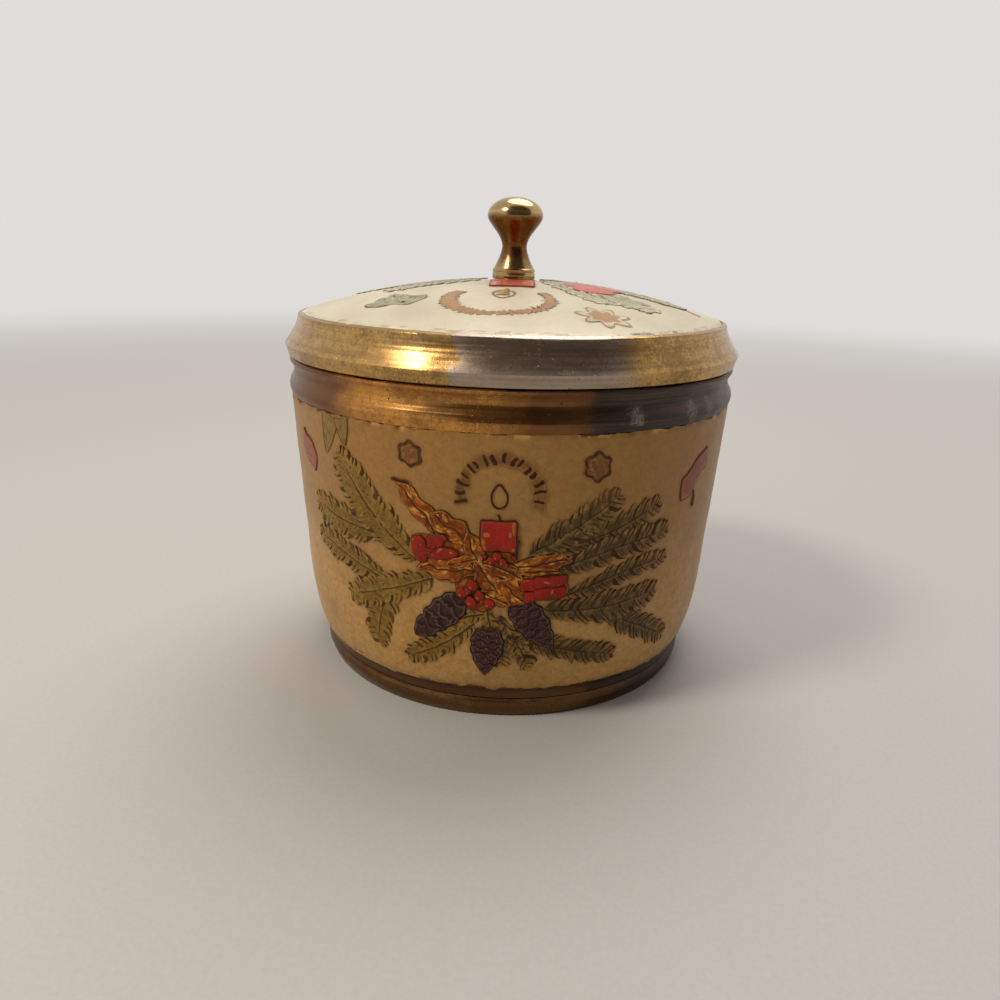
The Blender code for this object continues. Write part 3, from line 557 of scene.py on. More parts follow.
def patina(n, sized, given):
    """Fine mottling, tarnish patches, streaks round the axis and pits of old brass."""
    wide = n.noise(sized, 48.0, 4.0, 0.6, 0.8)
    fine = n.noise(sized, 380.0, 5.0, 0.7)
    grain = n.noise(sized, 1500.0, 3.0, 0.7)
    mixed = n.times_plus(wide, 0.55, n.times(fine, 0.45))
    mottle = n.band(n.times_plus(grain, 0.6, n.times(mixed, 0.4)), 0.38, 0.62)
    low = n.less(0.80, n.times(given["Cover"], 0.6))
    speckled = n.times_plus(mixed, 0.72, n.times(grain, 0.28))
    patches = n.band(speckled, n.less(low, 0.17), low)
    height_way = n.add("SeparateXYZ", {0: sized})[2]
    radius = n.vector("LENGTH", n.vector("MULTIPLY", sized, (1.0, 1.0, 0.0))[0])["Value"]
    rings = n.noise(n.add("CombineXYZ", {0: radius, 2: height_way})[0], 1100.0, 2.0, 0.7)
    smear = n.noise(n.vector("MULTIPLY", sized, (1.0, 1.0, 8.0))[0], 55.0, 4.0, 0.65)
    streaks = n.band(n.times(rings, smear), 0.18, 0.36)
    pits = n.band(n.noise(sized, 1300.0, 2.0, 0.6), 0.66, 0.72)
    pits = n.times(pits, n.band(n.noise(sized, 90.0), 0.44, 0.60))
    height = n.less(n.times_plus(rings, 0.35, n.times(fine, 0.35)), pits)
    return {"Mottle": mottle, "Patches": patches, "Streaks": streaks, "Pits": pits, "Height": height}


FOLD_SHAKE = (7 * MM, 7 * MM, 7 * MM)


def enamel_wear(n, sized, given):
    """Mottling, grain, specks, scratches, crumpled folds and a fine unevenness of old enamel."""
    wide = n.noise(sized, 32.0, 4.0, 0.6, 0.8)
    fine = n.noise(sized, 260.0, 4.0, 0.65)
    mottle = n.math("ADD", n.times(wide, 0.65), n.times(fine, 0.35))
    grain = n.noise(sized, 620.0, 4.0, 0.75, 0.6)
    specks = n.band(n.noise(sized, 900.0, 2.0, 0.5), 0.70, 0.78)
    specks = n.times(specks, n.band(n.noise(sized, 70.0), 0.46, 0.64))
    long = n.add("Mapping", {0: sized, 2: (0.5, 0.2, 0.6), 3: (14.0, 1.0, 3.0)})[0]
    scratches = n.math("ABSOLUTE", n.less(n.noise(long, 90.0, 3.0, 0.6, 0.4), 0.5))
    scratches = n.band(scratches, 0.012, 0.0)
    scratches = n.times(scratches, n.band(n.noise(sized, 45.0, 2.0), 0.54, 0.68))
    shaken = n.add("TexNoise", {"Vector": sized, "Scale": 130.0, "Detail": 2.0})["Color"]
    cells = {"Vector": n.vector("MULTIPLY_ADD", shaken, FOLD_SHAKE, sized)[0], "Scale": 190.0}
    folds = n.add("TexVoronoi", cells, feature="DISTANCE_TO_EDGE")["Distance"]
    facets = n.add("SeparateColor", {0: n.add("TexVoronoi", cells)["Color"]})[0]
    height = n.math("ADD", n.times(wide, 1.2), n.times(fine, 0.4))
    height = n.less(height, n.times(scratches, 0.3))
    made = {"Mottle": mottle, "Grain": grain, "Specks": specks, "Scratches": scratches}
    return {**made, "Folds": folds, "Facets": facets, "Height": height}


GROUPS = {"patina": (patina, {"Cover": 0.5, "Fineness": 1.0}), "enamel_wear": (enamel_wear, {"Fineness": 1.0})}


def group_named(name):
    """A shader node group of GROUPS, made when it is first used."""
    if name in bpy.data.node_groups:
        return bpy.data.node_groups[name]
    make, inputs = GROUPS[name]
    group = bpy.data.node_groups.new(name, "ShaderNodeTree")
    for label, default in inputs.items():
        socket = group.interface.new_socket(label, in_out="INPUT", socket_type="NodeSocketFloat")
        socket.default_value = default
    given = group.nodes.new("NodeGroupInput").outputs
    n = Nodes(group)
    made = make(n, n.vector("SCALE", n.place(), Scale=given["Fineness"])[0], given)
    for label in made:
        group.interface.new_socket(label, in_out="OUTPUT", socket_type="NodeSocketFloat")
    n.fill(group.nodes.new("NodeGroupOutput"), made)
    return group


def new_material(name):
    material = bpy.data.materials.new(name)
    material.use_nodes = True
    tree = material.node_tree
    return material, Nodes(tree), tree.nodes["Principled BSDF"]


SCUFF_COLOUR = (0.30, 0.27, 0.23, 1.0)
BRASS_BUMP = 0.07 * MM
GROUND_BUMP = 0.12 * MM
FILL_BUMP = 0.10 * MM


def brass_material(name, bright, dark, zone_tone, cover, roughness, fineness, mottling=0.75, relief=BRASS_BUMP):
    """Spun brass with fine mottling, tarnish patches, lathe lines, pits and pale scuffs, and zones of painted dark
    reflection and shade, partly tarnish.
    """
    material, n, surface = new_material(name)
    wear = n.group("patina", Cover=cover, Fineness=fineness)
    mottle = wear["Mottle"]
    # The zones mask paints the dark reflection and the shade, partly tarnish: first a hazy tone, then the darkest
    # one.
    zone = n.times_plus(mottle, -0.10, n.mask("tarnish"))
    darkest_zone = n.band(zone, 0.60, 0.92)
    scuff = n.times(n.mask("scuff"), n.band(mottle, 0.15, 0.75, 0.15, 0.8))
    colour = n.layers(
        rgba(bright),
        (n.times(mottle, mottling), rgba(blended(bright, 0.66, dark, 0.2))),
        (n.times(wear["Patches"], mottling), rgba(blended(bright, 0.30, dark, 0.6))),
        (n.band(zone, 0.10, 0.45), rgba(zone_tone)),
        (darkest_zone, rgba(dark, 0.30)),
        (n.times(wear["Streaks"], 0.35), rgba(dark, 2.0)),
        (n.times(wear["Pits"], 0.85), rgba(dark, 0.5)),
        (scuff, SCUFF_COLOUR),
    )
    rough = n.times_plus(mottle, 0.10, n.times_plus(zone, 0.16, roughness))
    rough = n.times_plus(scuff, 0.3, rough)
    metal = n.less(1.0, n.larger(n.times(darkest_zone, 0.5), scuff))
    bump = n.bump(wear["Height"], relief, 0.8)
    n.fill(surface, {"Base Color": colour, "Roughness": rough, "Metallic": metal, "Normal": bump})
    return material


def ground_material(name, cream, shade, line, gloss, speckle):
    """Cream enamel ground: mottled; darker by its shade mask, on the wall a painted shade towards the top; darkened
    round the ornament and at its edges by grime and painted shade; chipped at its edges, with pale flakes that
    are partly painted highlights.
    """
    material, n, surface = new_material(name)
    wear = n.group("enamel_wear", Fineness=1.0)
    mottle = wear["Mottle"]
    # Painted shade: the shade mask, on the wall darker towards the top under the lid, mottled.
    patchy_share = n.times_plus(n.mask("shade"), 0.85, n.times(mottle, 1.1))
    # Darkening round the ornament and at the band's edges: grime, partly painted shade where the ground meets
    # raised plates and the brass.
    darkening = n.times_plus(n.band(mottle, 0.42, 0.60), 0.45, 0.25)
    darkening = n.times(n.mask("grime"), darkening)
    colour = n.layers(
        rgba(cream),
        (n.band(patchy_share, 0.40, 1.40), rgba(shade)),
        (n.times(n.band(wear["Grain"], 0.35, 0.68), speckle), rgba(shade, 0.55)),
        (darkening, rgba(line, 2.6)),
        (n.times(wear["Specks"], 0.55), rgba(line, 3.0)),
        (n.times(wear["Scratches"], 0.30), rgba(line, 3.5)),
        # Pale flakes at the edges, partly painted highlights.
        (n.mask("flake"), rgba(cream, 1.2)),
        (n.mask("chip"), rgba(line, 0.9)),
    )
    rough = n.times_plus(darkening, 0.25, n.times_plus(mottle, 0.16, gloss))
    bump = n.bump(wear["Height"], GROUND_BUMP, 0.5)
    n.fill(surface, {"Base Color": colour, "Roughness": rough, "Specular IOR Level": 0.30, "Normal": bump})
    return material


def fill_material(name, colour, second, ground, line, glint, gloss=0.28, wire=0.0, gilt=0.0, crumple=0.0, grit=0.0):
    """A coloured fill that fades into the ground, with engraved lines, crumpled folds and golden lights: on the
    folds, lit facets are painted highlights, and darker facets and dark seams are painted shade.
    """
    material, n, surface = new_material(name)
    wear = n.group("enamel_wear", Fineness=1.6)
    folds, facets = wear["Folds"], wear["Facets"]
    mottle = n.band(wear["Mottle"], 0.36, 0.62)
    fade = n.times(n.mask("fade"), n.times_plus(wear["Mottle"], 2.4, -0.50))
    # Painted highlights on the lit facets of the folds, with the plate's own pale lines and highlights.
    lit = n.times(n.band(facets, 0.30, 0.05), crumple * 0.8)
    lit = n.larger(n.mask("glint"), n.times(lit, n.band(folds, 0.04, 0.30)))
    # Dark seams along the folds are painted shade, laid with the dark lines.
    ink = n.larger(n.mask("ink"), n.times(n.band(folds, 0.09, 0.02), crumple * 0.6))
    paint = n.layers(
        rgba(second),
        (mottle, rgba(colour)),
        (n.times(n.band(wear["Grain"], 0.42, 0.62), grit), rgba(line, 2.4)),
        (n.add("Clamp", {0: fade})[0], rgba(ground)),
        (n.times(wear["Specks"], 0.6), rgba(line, 2.0)),
        # Darker facets of the folds: painted shade.
        (n.times(n.band(facets, 0.30, 0.75), crumple * 0.55), rgba(second, 0.45)),
        (lit, rgba(glint)),
        (ink, rgba(line)),
    )
    shine = n.larger(n.times(lit, wire), n.times(mottle, gilt))
    shine = n.times(shine, n.less(1.0, ink))
    rough = n.times_plus(ink, 0.3, n.times_plus(mottle, 0.12, gloss))
    height = n.times_plus(folds, crumple * 6.0, n.less(wear["Height"], ink))
    bump = n.bump(height, FILL_BUMP, 0.6)
    finish = {"Base Color": paint, "Metallic": shine, "Roughness": rough, "Specular IOR Level": 0.16}
    n.fill(surface, {**finish, "Normal": bump})
    return material


# Brasses: bright colour if not the clean one, colour of the zones of painted dark reflection and shade (partly
# tarnish), cover of tarnish, roughness, fineness, and share of mottling and depth of the bumps if not the usual.
# The wall's bright colour is redder, a painted warm reflection on its neck; the foot's is dark, partly tarnish and
# partly a painted reflection of a dark floor; the knob's zone colour is its painted dark red-brown reflection.
BRASSES = {
    "spun_brass_wall": ((0.68, 0.305, 0.070), (0.19, 0.082, 0.030), 0.34, 0.19, 1.0),
    "spun_brass_lid": (None, (0.39, 0.325, 0.275), 0.32, 0.20, 1.0),
    "turned_brass_knob": ((0.60, 0.42, 0.185), (0.17, 0.058, 0.012), 0.04, 0.12, 0.7, 0.2, 0.012 * MM),
    "foot_brass": ((0.24, 0.120, 0.038), (0.10, 0.05, 0.02), 0.42, 0.22, 1.0),
    "inner_brass": ((0.42, 0.27, 0.10), (0.20, 0.13, 0.08), 0.55, 0.30, 1.0),
}
# Cream grounds: roughness and strength of their fine speckle
GROUNDS = {"wall_cream": (0.30, 0.44), "lid_cream": (0.26, 0.10)}
AMBER_SETTINGS = {"gloss": 0.20, "wire": 0.5, "gilt": 0.2, "crumple": 0.8, "grit": 0.35}
# Fills: colour, share of it in the darker mottling, line and glint colours if not the usual, and settings
FILLS = {
    "fir_olive": ("fir", (0.68, 0.66, 0.6), None, (0.42, 0.29, 0.10), {"gloss": 0.38, "grit": 0.42}),
    "fir_grey": ("fir_dark", (0.62, 0.62, 0.6), None, (0.32, 0.22, 0.095), {"gloss": 0.38, "grit": 0.50}),
    "cone_violet": ("cone", (0.6, 0.7, 0.55), (0.020, 0.009, 0.008), (0.17, 0.085, 0.072), {"grit": 0.35}),
    "amber": ("amber", (0.45, 0.27, 0.3), None, (0.90, 0.46, 0.09), AMBER_SETTINGS),
    "red": ("red", (0.66, 0.55, 0.5), None, (0.50, 0.23, 0.055), {"gloss": 0.16, "grit": 0.40}),
    "pink": ("pink", (0.65, 0.6, 0.6), (0.16, 0.05, 0.035), (0.5, 0.3, 0.2), {}),
    "olive": ("olive", (0.7, 0.7, 0.6), None, (0.44, 0.33, 0.15), {"gloss": 0.36}),
    "engraved": ("tan", (0.65, 0.6, 0.5), None, None, {"gloss": 0.36}),
    "lid_brown": ("lid_tan", (0.75, 0.7, 0.65), (0.16, 0.09, 0.05), (0.6, 0.5, 0.35), {}),
    "lid_fir": ("lid_green", (0.75, 0.75, 0.7), (0.14, 0.13, 0.10), (0.55, 0.52, 0.40), {}),
    "lid_red": ("lid_red", (0.75, 0.6, 0.6), (0.36, 0.07, 0.04), (0.75, 0.45, 0.33), {"gloss": 0.22}),
    "lid_cone": ("cone", (0.9, 0.9, 0.8), (0.03, 0.02, 0.02), (0.30, 0.20, 0.20), {}),
}
GLINT_SHARES = (1.25, 1.15, 1.1)


def material_named(name):
    """The canister's materials, each made when it is first used."""
    if name in bpy.data.materials:
        return bpy.data.materials[name]
    colours = bpy.context.scene.canister_colours
    named = {key: tuple(getattr(colours, key)) for key in colours.__annotations__}
    if name in BRASSES:
        bright, *settings = BRASSES[name]
        return brass_material(name, bright or named["brass"], named["tarnish"], *settings)
    if name in GROUNDS:
        return ground_material(name, named[name], named[name + "_shade"], named["line"], *GROUNDS[name])
    key, tint, line, glint, settings = FILLS[name]
    second = tuple(channel * share for channel, share in zip(named[key], tint))
    ground = named["lid_cream" if name.startswith("lid_") else "wall_cream_shade"]
    glint = glint or tuple(channel * share for channel, share in zip(named["brass"], GLINT_SHARES))
    return fill_material(name, named[key], second, ground, line or named["line"], glint, **settings)


# Flat shapes of the ornament. Each takes s from 0 to 1 along it and t from -1 to 1 across it, and gives the
# way along and across, the relief, and masks of its dark lines, with painted shade on holly leaves and cones,
# and of its pale lines and painted highlights. o holds its options and its own lengths, from the table SHAPES.


def most(*masks):
    return np.maximum.reduce(masks)


def window(values, rise, drop):
    """1 between two pairs of values, soft at both."""
    return smooth(values, *rise) * fall(values, *drop)


def rounded(values):
    """Height of a half circle, from 1 over its middle at 0."""
    return np.sqrt(np.clip(1.0 - values**2, 0, 1))


def line_mask(distance, width):
    """1 on a line of a width, falling off at its sides."""
    return fall(distance, width * 0.32, width * 0.68)


def outlined(s, t, length, half, line, ends=False):
    """A plate's way across and way in from its edge, its dark outline, and the pale rim inside that."""
    edge = (1.0 - np.abs(t)) * half
    if ends:
        edge = np.minimum(edge, np.minimum(s, 1.0 - s) * length)
    rim = window(edge, (line * 0.7, line * 1.1), (line * 1.3, line * 1.9))
    return t * half, edge, fall(edge, line * 0.55, line * 0.95), rim


def bough(s, t, length, width, seed, o):
    """A fir bough: rounded lobes along a vein, each with a dark curl at its end."""
    draw = np.random.default_rng(seed)
    side = np.where(t < 0, 1, 0)
    out = 1.0 - (1.0 - np.abs(t)) ** 1.5
    rise = 0.50 + 0.50 * np.sin(np.clip(s / 0.36, 0, 1) * math.pi / 2)
    taper = np.sqrt(np.clip(1.0 - np.clip((s - 0.55) / 0.465, 0, 1) ** 2.6, 0.0, 1.0))
    place = s * o.needles + 0.5 * side
    place = place + 0.24 * np.sin(place * 2.1 + seed)
    number = np.clip(np.floor(place).astype(int), 0, o.needles + 1)
    phase = np.clip(place - np.floor(place), 0, 1)
    ranges = ((0.78, 1.08), (0.08, 0.26), (0.62, 1.0), (0.9, 2.8), (0.7, 1.3))
    drawn = [draw.uniform(*ends, (2, o.needles + 2)) for ends in ranges]
    long, notch, dark, tail, fat = (values[side, number] for values in drawn)
    cut = 1.0 - notch * o.notch * np.abs(2.0 * phase - 1.0) ** 2.2
    reach = width / 2 * rise * taper * cut * long
    across = np.sign(t) * out * reach
    along = s * length * 0.95 + o.lean * out**1.3 * reach
    bend = draw.uniform(-0.05, 0.05) * length * np.sin(math.pi * s)
    inward = (1.0 - out) * reach
    pitch = 0.95 * length / o.needles
    run = np.clip(inward / (tail * o.tail), 0.0, 1.0)
    middle = (0.13 + 0.26 * run**0.7 + 0.04 * np.sin(run * 6.0 + 9.0 * long)) * pitch
    beyond = phase * pitch - middle
    thick = (0.17 + 0.25 * np.sqrt(1.0 - run)) * fat * o.curl
    curl = fall(np.abs(beyond), thick * 0.8, thick * 1.2 + o.curl_soft) * (run < 0.999)
    head = fall(inward, *o.head) * window(phase, (0.0, 0.08), (0.40 * fat, 0.58 * fat))
    thin = fall(np.abs(phase - 0.70 - 0.12 * np.sin(out * 7 + 5 * long)), 0.03, 0.09)
    thin *= window(out, (0.10, 0.3), (0.45, 0.85)) * o.thin * (fat > 0.95)
    flecks = smooth(wobble(along, across * 1.4, seed + 5, o.fleck_pitch, 3), 0.42, 0.70)
    flecks *= smooth(inward, *o.fleck_place) * 0.6
    vein = line_mask(np.abs(across - o.vein_shift), o.vein) * fall(s, 0.80, 0.95) * 0.9
    ink = most(curl * dark, head * dark, thin, flecks, vein)
    near, far, end = o.beside
    beside = window(beyond, (thick, thick + near), (thick + far, thick + end))
    beside *= smooth(run, 0.02, 0.2) * (run < 0.9)
    beneath = window(inward, *o.beneath) * (phase < 0.55)
    quill = line_mask(np.abs(across + o.quill_shift), o.quill) * fall(s, 0.8, 0.95)
    glint = np.maximum(beside, beneath * 0.6) * (0.15 + 0.85 * long**4) * o.pale
    glint = np.maximum(glint, quill * o.pale * 0.6)
    patchy_share = smooth(wobble(along, across, seed + 15, o.worn_pitch, 3), 0.1, 0.6)
    fade = 0.80 * fall(inward, *o.fade) + 0.5 * smooth(s, 0.60, 1.0) + 0.5 * patchy_share
    ridge = np.sin(math.pi * phase) * smooth(out, 0.3, 0.8)
    relief = o.rise + o.swell * ridge - o.ink_drop * ink - o.edge_drop * fall(inward, 0.0, o.edge_reach)
    return along, across + bend, relief, {"ink": ink, "glint": glint, "fade": fade}


def holly(s, t, length, width, seed, o):
    """A holly leaf: wavy edge, a dark middle vein, slanting folds, painted golden highlights and patches of painted
    shade.
    """
    line = o.line * 0.85
    way = s * length
    waves = 0.5 - 0.5 * np.cos(math.tau * (o.spines * s + 0.1))
    half = width / 2 * np.clip(np.sin(math.pi * s**0.92), 0.02, 1) ** 0.55 * (1.0 - 0.17 * waves)
    across, edge, ink, rim = outlined(s, t, length, half, line)
    sway = wobble(way, s * 0, seed, o.sway_pitch, 2) * 0.10 * width
    uneven = 0.12 * wobble(way, across, seed + 9, o.fold_pitch, 2)
    slant = (s * 2.6 - np.abs(t) ** 1.3 * 0.9 + 0.1 * seed + uneven) % 1.0
    fold = fall(np.abs(slant - 0.5), 0.02, 0.08) * smooth(np.abs(t), 0.06, 0.25)
    vein = line_mask(np.abs(across - o.vein_shift), line * 1.1) * (s < 0.92)
    # Patches of painted shade, laid with the dark lines; the pale lines and highlights keep out of them.
    shaded = wobble(way * 0.8, across * 1.4, seed + 7, o.shade_pitch, 3)
    ink = most(ink, vein, fold * 0.75, smooth(shaded, 0.1, 0.8) * 0.5)
    beside = line_mask(np.abs(across + o.light_shift), line * 0.8) * (s > 0.06) * (s < 0.9)
    beside *= smooth(-shaded, -0.2, 0.5)
    light = smooth(wobble(way * 0.6, across * 1.3, seed + 3, o.light_pitch, 2), 0.50, 0.95) * 0.75
    crest = fall(np.abs(slant - 0.64), 0.02, 0.12) * smooth(-shaded, 0.0, 0.6) * 0.45
    glint = most(rim * 0.35, light, crest, beside) * (edge > line * 0.8)
    relief = o.rise + o.swell * rounded(t) + o.waves * np.sin(slant * math.tau) - o.ink_drop * ink
    return way, across + sway, relief, {"ink": ink, "glint": glint}


# Shape of a cone: shares of its length and of its width, and steps between its scales as shares of their size
CONE_SHARES = (
    (0.0, 0.20),
    (0.05, 0.62),
    (0.18, 0.92),
    (0.36, 1.0),
    (0.60, 0.88),
    (0.80, 0.58),
    (0.94, 0.26),
    (1.0, 0.05),
)
CONE_ROW_SHARE = 0.80
CONE_COLUMN_SHARE = 1.55
CONE_TONES = 64


def cone_scales(u, v, seed):
    """Overlapping round scales in rows: the way out from the middle of the one in front, and its tone."""
    tone = np.random.default_rng(seed).uniform(0, 1, (CONE_TONES, CONE_TONES))
    inner = np.full_like(u, 0.9)
    shade = np.full_like(u, 0.5)
    free = np.ones_like(u, bool)
    first = np.floor((v - 1.0) / CONE_ROW_SHARE) + 1
    for step in range(3):
        row = first + step
        shift = 0.5 * (row % 2)
        column = np.round(u / CONE_COLUMN_SHARE - shift)
        way = np.hypot(u - (column + shift) * CONE_COLUMN_SHARE, v - row * CONE_ROW_SHARE)
        here = free & (way < 1.0) & (v > (row - 0.6) * CONE_ROW_SHARE)
        inner[here] = way[here]
        shade[here] = tone[(row[here] % CONE_TONES).astype(int), (column[here] % CONE_TONES).astype(int)]
        free &= ~here
    return inner, shade


def cone(s, t, length, width, seed, o):
    """A fir cone: rounded scales that overlap towards its tip, edged in a paler line."""
    way = s * length
    blunt = o.blunt * np.sqrt(np.clip(1.0 - s, 0, 1)) * (s > 0.7)
    half = width / 2 * np.maximum(np.interp(s, *zip(*CONE_SHARES)), blunt)
    half = half * (1.0 + 0.05 * np.sin(s * math.tau * 4.5 + seed))
    across, edge, ink, rim = outlined(s, t, length, half, o.line)
    scale = o.scale * min(1.0, width / o.full_width)
    u = across / scale + 0.18 * wobble(way, across, seed + 1, o.stray_pitch, 2)
    v = way / scale + 0.18 * wobble(way, across, seed + 2, o.stray_pitch, 2)
    inner, shade = cone_scales(u, v, seed)
    seam = smooth(inner, 0.80, 0.88) * (0.30 + 0.70 * shade) * o.seam
    # Painted shade in a ring just inside each scale's edge, laid with the dark lines.
    dark = window(inner, (0.50, 0.70), (0.78, 0.86)) * 0.8
    streak = smooth(wobble(way, across * 3.0, seed, o.streak_pitch, 2), 0.40, 0.65) * o.streak
    glint = most(seam, streak * (1 - dark), rim) * (edge > o.line * 0.8)
    relief = o.rise + o.swell * rounded(t) + o.bulge * rounded(inner) * rounded(t)
    return way, across, relief, {"ink": np.maximum(ink, dark), "glint": glint}


def blob(s, t, length, width, seed, o):
    """A swollen drop of enamel with a dark edge and small lights: s runs round it and t out from its middle."""
    line = o.line * 0.8
    out = (t + 1.0) / 2
    turn = s * math.tau
    box = (np.abs(np.cos(turn)) ** o.square + np.abs(np.sin(turn)) ** o.square) ** (-1 / o.square)
    uneven = box * (1.0 + 0.07 * np.sin(2 * turn + seed) + 0.05 * np.sin(3 * turn + 2 * seed))
    along = length / 2 * (1.0 + out * uneven * np.cos(turn))
    across = width / 2 * out * uneven * np.sin(turn)
    edge = (1.0 - out) * min(length, width) / 2
    folds = wobble(along, across * 1.3, seed + 4, o.fold, 2)
    ink = np.maximum(fall(edge, line * 0.35, line * 0.75), fall(np.abs(folds), 0.02, 0.10) * 0.55)
    light = smooth(wobble(along, across * 1.6, seed + 8, o.light_pitch, 2), 0.62, 0.85) * (edge > line)
    relief = o.rise + o.dome * (o.swell + o.bulge * rounded(out)) - o.ink_drop * ink
    return along, across, relief, {"ink": ink, "glint": light * o.light}


# Pale lights on the candle: share up it and place across it, and their reach each way
CANDLE_LIGHT_SHARES = (
    (0.78, -0.78, 0.24, 0.10),
    (0.58, -0.60, 0.10, 0.12),
    (0.55, 0.62, 0.09, 0.20),
    (0.30, 0.80, 0.14, 0.10),
    (0.12, 0.72, 0.07, 0.10),
    (0.10, -0.78, 0.07, 0.10),
)


def candle_block(s, t, length, width, seed, o):
    """The candle's stump: a rounded block of pooled red with a dark edge and pale lights."""
    ends = np.clip(1.0 - np.clip((np.abs(2 * s - 1.0) - 0.84) / 0.16, 0, 1) ** 2, 0, 1)
    half = width / 2 * (0.88 + 0.12 * np.sqrt(ends))
    across, edge, ink, rim = outlined(s, t, length, half, o.line, True)
    pool = wobble(s * length, across, seed, o.pool_pitch, 2)
    pale = np.zeros_like(s)
    for up, over, tall, broad in CANDLE_LIGHT_SHARES:
        way = np.hypot((s - up) / tall, (t - over) / broad) + 0.25 * pool
        pale = np.maximum(pale, fall(way, 0.75, 1.0))
    border = fall(np.abs(pale - 0.4), 0.1, 0.4) * 0.6
    relief = o.rise + o.swell * smooth(edge, 0.0, o.edge_reach) + o.pool * pool - o.ink_drop * border
    masks = {"ink": np.maximum(ink, border), "glint": np.maximum(rim * 0.12, pale * 0.6)}
    return s * length, across, relief, masks


def lozenge(s, t, length, width, seed, o):
    """A wavy pink lozenge with slanted ends and a dark edge."""
    line = o.line * 1.4
    ends = np.clip(np.minimum(s, 1.0 - s) / 0.06, 0, 1) ** 0.5
    half = width / 2 * (0.5 + 0.5 * ends) * (0.86 + 0.14 * np.cos(s * 7.0 + seed))
    across, edge, ink, rim = outlined(s, t, length, half, line, True)
    bend = 0.09 * width * np.sin((s - 0.5) * math.tau)
    speck = smooth(wobble(s * length, across, seed, o.speck_pitch, 3), 0.50, 0.70) * (edge > line) * 0.5
    relief = o.rise + o.swell * smooth(edge, 0.0, o.edge_reach)
    masks = {"ink": np.maximum(ink, speck), "glint": rim * 0.3}
    return s * length + o.shear * across, across + bend, relief, masks


def leaf_lobe(s, t, length, width, seed, o):
    """A plain olive lobe with a pointed tip and one dark side."""
    half = width / 2 * np.clip(1.0 - s, 0, 1) ** 0.62 + o.tip
    across, edge, ink, _ = outlined(s, t, length, half, o.line * 0.9)
    relief = o.rise + o.swell * smooth(edge, 0.0, o.edge_reach)
    dim = smooth(wobble(s * length, across, seed, o.dim_pitch, 3), 0.2, 0.7) * 0.35
    masks = {"ink": np.maximum(ink * (t < 0), dim), "fade": (t > 0) * 0.4 * np.abs(t)}
    return s * length, across, relief, masks


def stroke(s, t, length, width, seed, o):
    """A short engraved stroke with a dark middle, or a plain dab where there is no dark."""
    ends = np.sqrt(np.clip(1.0 - (2 * s - 1.0) ** 6, 0, 1))
    across = t * width / 2 * (0.4 + 0.6 * ends) + 0.12 * width * np.sin(s * 5 + seed)
    ragged = 0.18 * wobble(s * length, across, seed, o.ragged_pitch, 2)
    dark = fall(np.abs(t + 0.1) + ragged, 0.60, 0.95) * window(s, (0.0, 0.1), (0.9, 1.0))
    fade = np.maximum(smooth(np.abs(2 * s - 1), 0.6, 1.0), smooth(np.abs(t), 0.6, 1.0))
    return s * length, across, o.rise + o.swell * (1 - np.abs(t)), {"ink": dark * o.dark, "fade": fade}


def berry(s, t, length, width, seed, o):
    """A round berry: s runs round it and t out from its middle."""
    line = o.line * 0.7
    out = (t + 1.0) / 2
    turn = s * math.tau
    radius = width / 2 * out * (1.0 + 0.05 * np.sin(3 * turn + seed))
    edge = (1.0 - out) * width / 2
    light = np.hypot(out * np.cos(turn) + 0.3, out * np.sin(turn) - 0.3)
    masks = {"ink": fall(edge, line * 0.45, line * 0.8), "glint": fall(light, 0.12, 0.26) * 0.7}
    return radius * np.cos(turn), radius * np.sin(turn), o.rise + o.swell * rounded(out), masks


def star(s, t, length, width, seed, o):
    """A six-sided star with a wavy dark edge round a paler middle, or a spiky one round a filled middle."""
    out = (t + 1.0) / 2
    turn = s * math.tau
    wave = 1.0 + (0.10 + 0.16 * o.spiky) * np.cos((6 + o.spiky) * turn) + 0.05 * np.sin(2 * turn + seed)
    outer = smooth(out, 0.3, 1.0)
    radius = width / 2 * out * (wave * outer + 1.0 - outer)
    edge = (1.0 - out) * width / 2
    x, y = radius * np.cos(turn), radius * np.sin(turn)
    ragged = 0.5 + 0.5 * wobble(x, y, seed, o.ragged_pitch, 3)
    ink = line_mask(np.abs(edge - o.line * 0.8), o.line * (2.3 - 1.4 * o.spiky)) * (0.65 + 0.35 * ragged)
    relief = o.rise + o.swell * (1.0 - out**2) - o.ink_drop * ink
    glint = smooth(wobble(x, y, seed + 5, o.light_pitch, 2), 0.3, 0.6) * 0.2 * (1 - o.spiky)
    fade = smooth(out + 0.12 * ragged, 0.66, 0.76) * (o.spiky + (1 - o.spiky) * 0.2)
    return x, y, relief, {"ink": ink, "glint": glint, "fade": fade}


def ring_line(s, t, length, width, seed, o):
    """A flame's outline: a pointed ring of one engraved line."""
    turn = s * math.tau
    point = 1.0 + 0.28 * np.clip(np.cos(turn), 0, 1) ** 6
    radius = 1.0 + 0.05 * np.sin(2 * turn + 1.0)
    scale = 1.0 + t * o.line / width
    thick = 0.72 + 0.20 * np.sin(3 * turn + 1.0) * np.sin(turn + seed)
    along = np.cos(turn) * point * radius * length / 2 * scale
    across = np.sin(turn) * radius * width / 2 * scale
    masks = {"ink": fall(np.abs(t), thick, thick + 0.2), "fade": np.abs(t) ** 4}
    return along, across, o.rise + o.swell * (1 - np.abs(t)), masks


